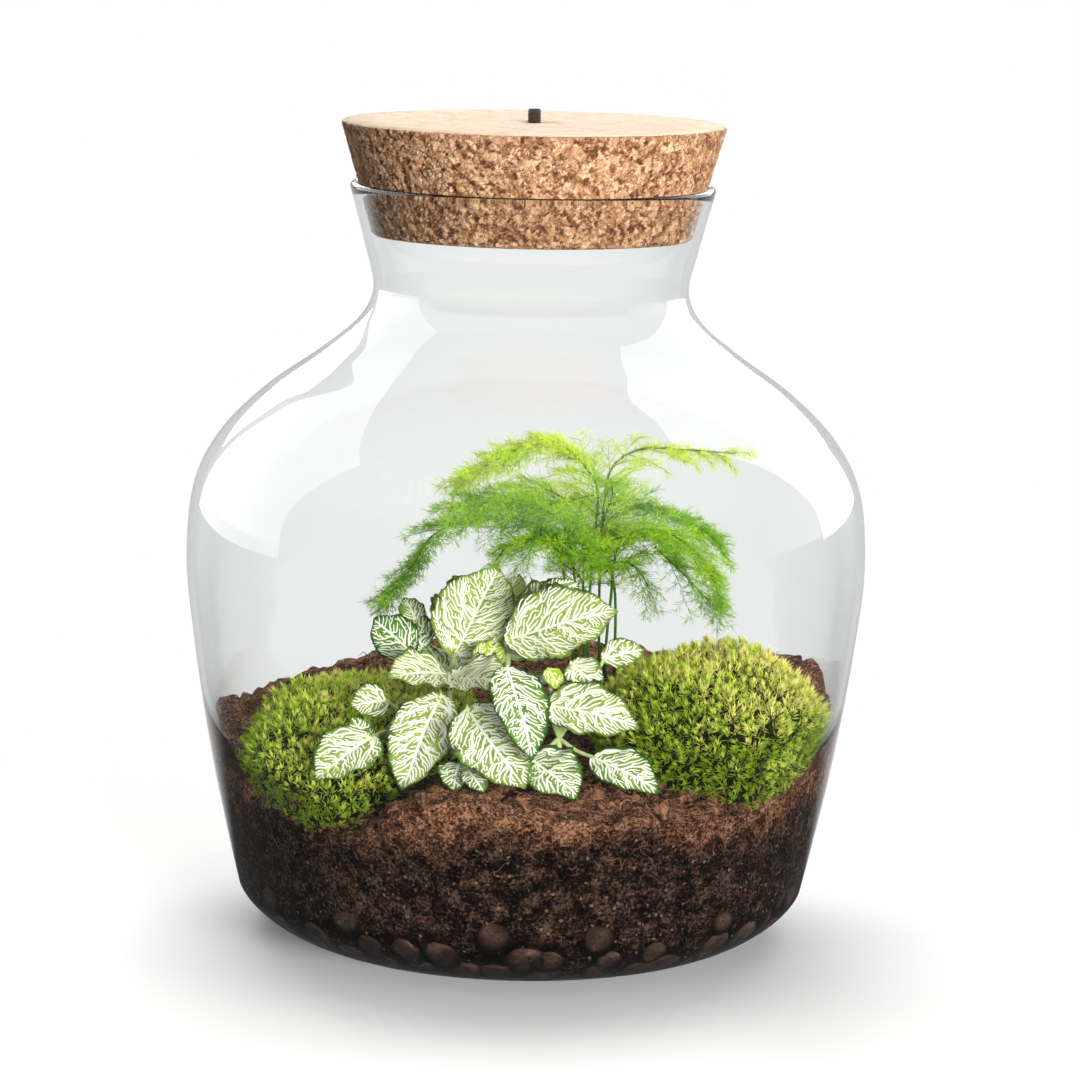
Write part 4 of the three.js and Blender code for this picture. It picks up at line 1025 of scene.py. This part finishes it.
def grow_veins(length, width, random):
    """A leaf's veins as lines of points with widths. Side veins stream from the midrib towards the
    edge, and twigs fork off wherever they leave room, so that they fill the blade evenly."""
    half = lambda x: width / 2 * float(leaf_half(min(max(x / length, 0), 1)))
    swing = random.random(3) * 2 * math.pi

    def flow(x, y):
        side = 1 if y > 0 else -1
        wander = (math.sin(x / 1.7 + swing[0] + 0.8 * side) + math.sin(y / 1.3 + x / 3.1 + swing[1])
                  + math.sin(x / 0.9 - y / 1.1 + swing[2]))
        lean = math.radians(62 - 22 * x / length - 24 * abs(y) / max(half(x), 1) + 10 * wander)
        return np.array([math.cos(lean), side * math.sin(lean)])

    rib_x = np.arange(0, 0.96 * length, VEIN_STEP)
    count = len(rib_x)
    nodes = np.zeros((6000, 2))
    nodes[:count] = np.stack([rib_x, 0.012 * width * np.sin(rib_x / length * 5)], -1)
    parents = list(range(-1, count - 1))
    veins = [list(range(count))]

    def stream(root, path):
        """Adds a vein from a node: along the path, then on with the flow until it meets another."""
        before, line = len(parents), [root]
        while len(parents) < len(nodes) - 4:
            for point in path:
                nodes[len(parents)] = point
                parents.append(line[-1])
                line.append(len(parents) - 1)
            x, y = path[-1] + VEIN_STEP * flow(*path[-1])
            if abs(y) > 0.93 * half(x) or x > 0.985 * length or random.random() < 0.055:
                break
            gap = nodes[:before] - (x, y)
            if np.min(np.sum(gap * gap, axis=1)) < (0.55 * VEIN_GAP) ** 2 and len(line) > 4:
                break
            path = [np.array([x, y])]
        if len(line) > 2:
            veins.append(line)

    pairs = max(3, round(length / VEIN_PAIR_GAP))
    for k, side in itertools.product(range(pairs), (-1, 1)):
        share = (k + 0.4 + 0.25 * side + 0.25 * random.random()) / pairs
        root = int(0.95 * share * (count - 1))
        stream(root, [nodes[root] + (0.5 * VEIN_STEP, side * 0.8 * VEIN_STEP)])
    for number, line in enumerate(veins):
        for k, turn in itertools.product(range(2, len(line), 1 if number else 2), (-1, 1)):
            here = nodes[line[k]]
            if number:
                ahead = unit(here - nodes[line[k - 2]])
                spot = here + turn * VEIN_GAP * np.array([-ahead[1], ahead[0]])
                spot = spot + 0.35 * (random.random(2) - 0.5)
            else:
                spot = here + flow(here[0], turn * 0.5) * VEIN_GAP
            if abs(spot[1]) > 0.9 * half(spot[0]) or not 0.3 < spot[0] < 0.97 * length:
                continue
            gap = nodes[:len(parents)] - spot
            if np.min(np.sum(gap * gap, axis=1)) < (0.86 * VEIN_GAP) ** 2:
                continue
            root = line[max(k - 3, 0)] if number else line[k]
            start = nodes[root]
            bend = (start + spot) / 2 + 0.12 * turn * (spot - start)[::-1] * (1, -1)
            t = np.array([0.33, 0.66, 1.0])[:, None]
            stream(root, list((1 - t) ** 2 * start + 2 * t * (1 - t) * bend + t * t * spot))
    beyond = np.full(len(parents), VEIN_STEP)
    for k in range(len(parents) - 1, 0, -1):
        beyond[parents[k]] += beyond[k]
    widths = np.minimum(VEIN_WIDTH * beyond ** VEIN_TAPER, RIB_WIDTH)
    ends = {line[-1] for line in veins}
    widths[list(ends)] *= 0.4
    return [(nodes[line], np.concatenate([widths[line[1:2]], widths[line[1:]]])) for line in veins]


def leaf_shape(base, tip, width, face, white, dark, young=0.0, index=0):
    """A leaf: a thin closed blade, and its veins as strips that lie on it."""
    random = np.random.default_rng(500 + index)
    base, tip = np.array(base, float), np.array(tip, float)
    length = np.linalg.norm(tip - base)
    axis = (tip - base) / length
    normal = np.array(face, float)
    normal = unit(normal - normal.dot(axis) * axis)
    side = np.cross(axis, normal)

    def on_leaf(x, y, up):
        """The place of a point of the flat leaf on the arched, dished and rippled one."""
        share = np.clip(x / length, 0, 1)
        half = width / 2 * leaf_half(share)
        t = np.clip(y / np.maximum(half, 0.4), -1.1, 1.1)
        wave = LEAF_RIPPLE * width * np.sin(LEAF_RIPPLES * 2 * np.pi * share + index % 7)
        lift = (LEAF_ARCH * length * np.sin(np.pi * share) + LEAF_DISH * half * (2 * t * t - 1)
                + 1.3 * wave * t * np.abs(t) - 0.06 * half * np.exp(-(t * 9) ** 2))
        return base + x[..., None] * axis + y[..., None] * side + (lift + up)[..., None] * normal

    def glow(x, y):
        middle = 0.5 * np.exp(-9 * x / length) * np.exp(-(y / 2.2) ** 2) * (dark < 0.6)
        return np.clip(young + middle, 0, 1).ravel()

    rows, columns = int(length / 0.7) + 8, 2 * int(width / 2.2) + 7
    share, t = np.meshgrid(np.linspace(0, 1, rows), np.linspace(-1, 1, columns), indexing="ij")
    scallop = (1 + 0.024 * np.sin(share * 2 * np.pi * 13 + index + t) + 0.012 * np.sin(share * 2 * np.pi * 29)
               + 0.03 * np.sin(share * 2 * np.pi * 3.1 + 2 * index + t))
    half = width / 2 * leaf_half(share) * scallop
    x, y = share * length, t * half
    margin = np.minimum((1 - np.abs(t)) * half, 1.6 * np.minimum(x, length - x))
    upper = on_leaf(x, y, 0.0)
    few = np.array([0, columns // 4, columns // 2, columns - 1 - columns // 4, columns - 1])
    lower = on_leaf(x, y, -0.45)[:, few]
    lower[:, 0], lower[:, -1], lower[0], lower[-1] = upper[:, 0], upper[:, -1], upper[0, 0], upper[-1, 0]
    faces = np.concatenate([grid_faces(rows, columns), grid_faces(rows, 5)[:, ::-1] + rows * columns])
    points = np.concatenate([upper.reshape(-1, 3), lower.reshape(-1, 3)])
    both = lambda grid: np.concatenate([grid.ravel(), grid[:, few].ravel()])
    parts = [welded(points, faces, vein=0.0, margin=both(margin), dark=dark,
                    young=both(glow(x, y).reshape(x.shape)))]
    for order, (line, widths) in enumerate(grow_veins(length, width, random)):
        ahead = unit(np.gradient(line, axis=0))
        across = np.stack([-ahead[:, 1], ahead[:, 0]], -1) * (widths * (0.95 + 0.6 * white))[:, None] / 2
        strip = np.stack([line - across, line + across], 1)
        up = 0.16 if order == 0 else 0.07 + 0.07 * random.random()
        strip_points = on_leaf(strip[..., 0], strip[..., 1], up).reshape(-1, 3)
        parts.append(shape(strip_points, grid_faces(len(line), 2), vein=1.0, margin=9.0, dark=dark,
                           young=glow(strip[..., 0], strip[..., 1])))
    return merged(parts)


def soil_point(x, y, up):
    return np.array([x, y, soil_height(x, y) + up])


def build_fittonia(cad_node, joint, leaves, number):
    joint = np.array(joint, float)
    foot = soil_point(joint[0], joint[1], -6)
    crown = soil_point(joint[0], joint[1], 3)
    stalks = [spline([foot, crown, joint], 8)]
    for leaf in leaves:
        base, tip = np.array(leaf[0], float), np.array(leaf[1], float)
        start = joint if base[2] > joint[2] - 6 else crown + 0.6 * (joint - crown)
        into = base + 0.05 * (tip - base)
        sag = (start + into) / 2 + (0, 0, -0.06 * np.linalg.norm(into - start))
        stalks.append(spline([start, sag, into], 8))
    thick = [1.35] + [0.85] * len(leaves)
    parts = [tubes(stalk[None], np.linspace(r, r * 0.85, len(stalk))[None], 8, young=0.0)
             for stalk, r in zip(stalks, thick)]
    stalk_faces = sum(len(p["faces"]) for p in parts)
    for k, leaf in enumerate(leaves):
        parts.append(leaf_shape(*leaf, index=10 * number + k))
    whole = merged(parts)
    second = np.arange(len(whole["faces"])) < stalk_faces
    piece(cad_node + "_leaves", whole, [leaf_material_shared, stalk_material_shared],
          [cad_node], second=second)


# Asparagus fern

def frond_run(run, lime, fullness, bare_to, thick, random):
    """One midrib with its branches, twigs and needles, as a list of shapes."""
    stem = spline(run, 10)
    parts = [tubes(stem[None], np.linspace(thick, 0.25, len(stem))[None], 6, tint=0.08)]
    reach = np.linalg.norm(np.diff(stem, axis=0), axis=1).sum() * (1 - bare_to)
    count = max(8, int(0.56 * reach * fullness))
    order = np.arange(count)
    shares = bare_to + (1 - bare_to) * (order + 0.4 * random.random(count)) / count
    start, heading = along(stem, np.clip(shares, 0, 0.995))
    sideways = unit(np.cross(heading, (0.05, 0.02, 1.0)))
    sign = np.where(order % 2, 1.0, -1.0)[:, None]
    done = (order / count)[:, None]
    upward = (random.random((count, 1)) - 0.5) * 1.0
    out = unit(heading * 0.8 + sideways * sign * (0.9 - 0.5 * done) + upward * np.array([0, 0, 1]))
    length = (22 - 13 * done) * (0.65 + 0.6 * random.random((count, 1)))
    length = length * np.where(done < 0.12, 0.6, 1)
    step = np.linspace(0, 1, 5)[None, :, None]
    droop = np.array([0, 0, -0.26]) * length[:, None] * step ** 2
    branch = start[:, None] + out[:, None] * length[:, None] * step + droop
    parts.append(tubes(branch, 0.15 * (1.25 - step[..., 0]), 3, tint=0.3 * lime))

    twig_start, twig_out, twig_length = [], [], []
    per_branch = 8
    for k in range(per_branch):
        share = (k + 0.6) / per_branch
        at = start + out * length * share + droop[:, -1] * share ** 2
        tangent = unit(out + 2 * share * droop[:, -1] / np.maximum(length, 1))
        turned = unit(np.cross(tangent, (0, 0.1, 1.0)))
        tilt = (random.random((count, 1)) - 0.45) * 0.9
        flip = 1 if k % 2 else -1
        twig_start.append(at)
        twig_out.append(unit(tangent * 0.8 + turned * flip * 0.8 + tilt * np.array([0, 0, 1])))
        twig_length.append(length[:, 0] * (0.36 - 0.2 * share) * (0.7 + 0.6 * random.random(count)) + 1.5)
    twig_start, twig_out = np.concatenate(twig_start), np.concatenate(twig_out)
    twig_length = np.concatenate(twig_length)[:, None]
    halves = np.linspace(0, 1, 3)[None, :, None]
    twig = twig_start[:, None] + twig_out[:, None] * twig_length[:, None] * halves
    parts.append(tubes(twig, np.array([0.11, 0.09, 0.05])[None], 3, tint=0.3 * lime + 0.1))

    groups = [(branch[:, 0], out, length, 22), (twig_start, twig_out, twig_length, 12)]
    for origin, direction, reach, per in groups:
        share = (np.arange(per)[None] + random.random((len(origin), per))) / per
        at = origin[:, None] + direction[:, None] * (reach * share)[..., None]
        if len(origin) == count:
            at = at + droop[:, -1][:, None] * (share ** 2)[..., None]
        axes = np.repeat(direction, per, axis=0)
        directions, across = around(axes, random, 25, 75)
        total = len(axes)
        size = 3.3 * (0.7 + 0.6 * random.random(total))
        shade = lime + 0.3 * (random.random(total) - 0.5) + 0.2 * noise(at.reshape(-1, 3), 9)
        parts.append(needles(at.reshape(-1, 3), directions, across, size, 0.25, tint=np.clip(shade, 0.02, 1)))
    return parts


def build_frond(number, runs):
    random = np.random.default_rng(900 + number)
    (root, *run), lime, fullness = runs[0]
    main = [soil_point(*root, -6), soil_point(*root, 3), *run]
    parts = frond_run(main, lime, fullness, FROND_BARE_TO, 0.7, random)
    for run, lime, fullness in runs[1:]:
        parts += frond_run(run, lime, fullness, 0.1, 0.35, random)
    whole = merged(parts)
    lowest = soil_height(whole["points"][:, 0], whole["points"][:, 1]) - 7
    whole["points"][:, 2] = np.maximum(whole["points"][:, 2], lowest)
    piece(f"fern_frond_{number}", whole, [fern_material_shared],
          [f"asparagus_frond_{number}"])


# Studio

def unseen_depth(tree, path):
    """1 for rays that reach the camera straight or through glass, 0 once they have been reflected."""
    bounced = total(tree, path.outputs["Diffuse Depth"], path.outputs["Glossy Depth"])
    return math_of(tree, "SUBTRACT", 1.0, bounced, clamp=True)


def surroundings(tree, path, where, dark_to, pale_from):
    """What reflections and diffuse light find: a dark room before the jar, a pale one behind it. Each
    limit is the cosine of a direction's angle from straight behind the jar."""
    level = node(tree, "VectorMath", {0: where, 1: (1, 1, 0)}, operation="MULTIPLY").outputs[0]
    heading = node(tree, "VectorMath", {0: level}, operation="NORMALIZE").outputs[0]
    depth = node(tree, "SeparateXYZ", {"Vector": heading}).outputs["Y"]
    mirrored = mixed(tree, rescaled(tree, depth, dark_to, pale_from), ROOM_FRONT, ROOM_BACK)
    rise = node(tree, "SeparateXYZ", {
        "Vector": node(tree, "VectorMath", {0: where}, operation="NORMALIZE").outputs[0]}).outputs["Z"]
    mirrored = mixed(tree, rescaled(tree, rise, 0.3, 0.6), mirrored, ROOM_ABOVE)
    glossy = math_of(tree, "MINIMUM", path.outputs["Glossy Depth"], 1.0)
    return mixed(tree, glossy, ROOM_FILL, mirrored)


def build_floor():
    material = bpy.data.materials.new("studio_floor")
    tree = cleared(material)
    where = place(tree)
    path = node(tree, "LightPath")
    distance = node(tree, "VectorMath", {0: where}, operation="LENGTH").outputs["Value"]
    seen = unseen_depth(tree, path)
    room = surroundings(tree, path, where, 0.45, 0.85)
    parts = node(tree, "SeparateXYZ", {"Vector": where})
    # Painted shadow: the floor's colour is a little darker behind the jar and to its right.
    behind = product(tree, rescaled(tree, parts.outputs["Y"], -0.05, 0.03), 0.06)
    beside = product(tree, rescaled(tree, parts.outputs["X"], 0.05, 0.11), 0.09)
    tone = math_of(tree, "SUBTRACT", 0.94, total(tree, behind, beside))
    near = node(tree, "BsdfDiffuse", {"Color": tone})
    far = node(tree, "Emission", {"Color": mixed(tree, seen, room, (1, 1, 1, 1)), "Strength": 1.0})
    mirrored = math_of(tree, "MINIMUM", path.outputs["Glossy Depth"], 1.0)
    under = product(tree, path.outputs["Transmission Depth"], rescaled(tree, distance, 0.14, 0.12))
    clear = math_of(tree, "MULTIPLY", under, 0.8, clamp=True)
    spread = math_of(tree, "MAXIMUM", rescaled(tree, distance, 0.19, 0.36),
                     math_of(tree, "MAXIMUM", mirrored, clear))
    both = node(tree, "MixShader", {0: spread, 1: near.outputs[0], 2: far.outputs[0]})
    node(tree, "OutputMaterial", {"Surface": both.outputs[0]})
    mesh = bpy.data.meshes.new("floor")
    reach = 14.0
    mesh.from_pydata([(-reach, -reach, 0), (reach, -reach, 0), (reach, reach, 0), (-reach, reach, 0)],
                     [], [(0, 1, 2, 3)])
    mesh.materials.append(material)
    floor = added("floor", mesh)


def softbox(name, azimuth, distance, low, width, height, lean, radiance, reflected, lights=True):
    """A rectangular lamp. Azimuth runs from the camera's side towards +X, lean tips its top in.
    A reflected one shows in the glass; one that lights falls on the planting and the floor."""
    turn = math.radians(azimuth)
    out = Vector((math.sin(turn), -math.cos(turn), 0))
    lamp = bpy.data.lights.new(name, "AREA")
    lamp.shape = "RECTANGLE"
    lamp.size, lamp.size_y = width, height
    lamp.energy = radiance * math.pi * width * height
    light = added(name, lamp)
    light.location = out * distance + Vector((0, 0, low + height / 2))
    aim = -out - Vector((0, 0, math.tan(math.radians(lean))))
    light.rotation_euler = aim.to_track_quat("-Z", "Y").to_euler()
    light.visible_camera = False
    light.visible_transmission = False
    light.visible_glossy = reflected
    light.visible_diffuse = lights


def build_lamp_light():
    lamp = bpy.data.lights.new("lamp_light", "AREA")
    lamp.shape = "DISK"
    lamp.size = 0.05
    lamp.energy = 0.05
    lamp.color = (1.0, 0.86, 0.5)
    light = added("lamp_light", lamp)
    light.location = (0, 0, (CORK_BOTTOM - 3) * MM)
    light.visible_camera = light.visible_glossy = light.visible_transmission = False


def build_world():
    world = bpy.data.worlds.new("studio")
    tree = cleared(world)
    path = node(tree, "LightPath")
    where = node(tree, "TexCoord").outputs["Generated"]
    room = surroundings(tree, path, where, -0.2, 0.4)
    back = node(tree, "Background", {"Color": mixed(tree, unseen_depth(tree, path), room, (1, 1, 1, 1))})
    node(tree, "OutputWorld", {"Surface": back.outputs[0]})
    bpy.context.scene.world = world


def build_camera():
    """The photograph's view. Pitch looks down, roll tilts the picture, yaw turns towards +X."""
    pitch, roll, yaw = (math.radians(a) for a in CAMERA_TURNS)
    ahead = Vector((math.cos(pitch) * math.sin(yaw), math.cos(pitch) * math.cos(yaw), -math.sin(pitch)))
    level = Vector((math.cos(yaw), -math.sin(yaw), 0))
    raised = level.cross(ahead)
    right = level * math.cos(roll) + raised * math.sin(roll)
    upward = raised * math.cos(roll) - level * math.sin(roll)
    lens = bpy.data.cameras.new("camera")
    lens.sensor_width = 36.0
    lens.lens = 36.0 * CAMERA_FOCUS
    lens.clip_start, lens.clip_end = 0.1, 100
    camera = added("camera", lens)
    turned = Matrix((right, upward, -ahead)).transposed().to_4x4()
    camera.matrix_world = Matrix.Translation(CAMERA_PLACE) @ turned
    bpy.context.scene.camera = camera


build_camera()
build_floor()
build_world()
softbox("softbox_left", -117, 2.2, 0.0, 2.4, 3.2, 0, 2.0, reflected=True, lights=False)
softbox("softbox_right", 134, 2.2, 0.0, 1.7, 3.4, 18, 2.4, reflected=True, lights=False)
softbox("light_back", 180, 0.8, 1.3, 1.8, 1.0, 66, 6.6, reflected=False)
softbox("light_front", 28, 2.0, 0.05, 1.1, 0.6, 9, 37.0, reflected=False)
softbox("light_rim", 180, 2.2, 0.55, 2.6, 1.0, 0, 6.0, reflected=True, lights=False)
build_lamp_light()

moss_material_shared = moss_material()
leaf_material_shared = leaf_material()
stalk_material_shared = stalk_material("fittonia_stalk", srgb(150, 176, 96), srgb(196, 206, 150))
fern_material_shared = fern_material()

build_jar()
build_cork()
build_lamp()
build_inlet()
build_pebbles()
build_soil()
build_moss("moss_left", 31, 0.58)
build_moss("moss_right", 32, 0.76)
for number, (cad_node, (joint, leaves)) in enumerate(FITTONIA.items(), 1):
    build_fittonia(cad_node, joint, leaves, number)
for number, runs in enumerate(FRONDS, 1):
    build_frond(number, runs)

bpy.context.scene.view_settings.view_transform = "Standard"
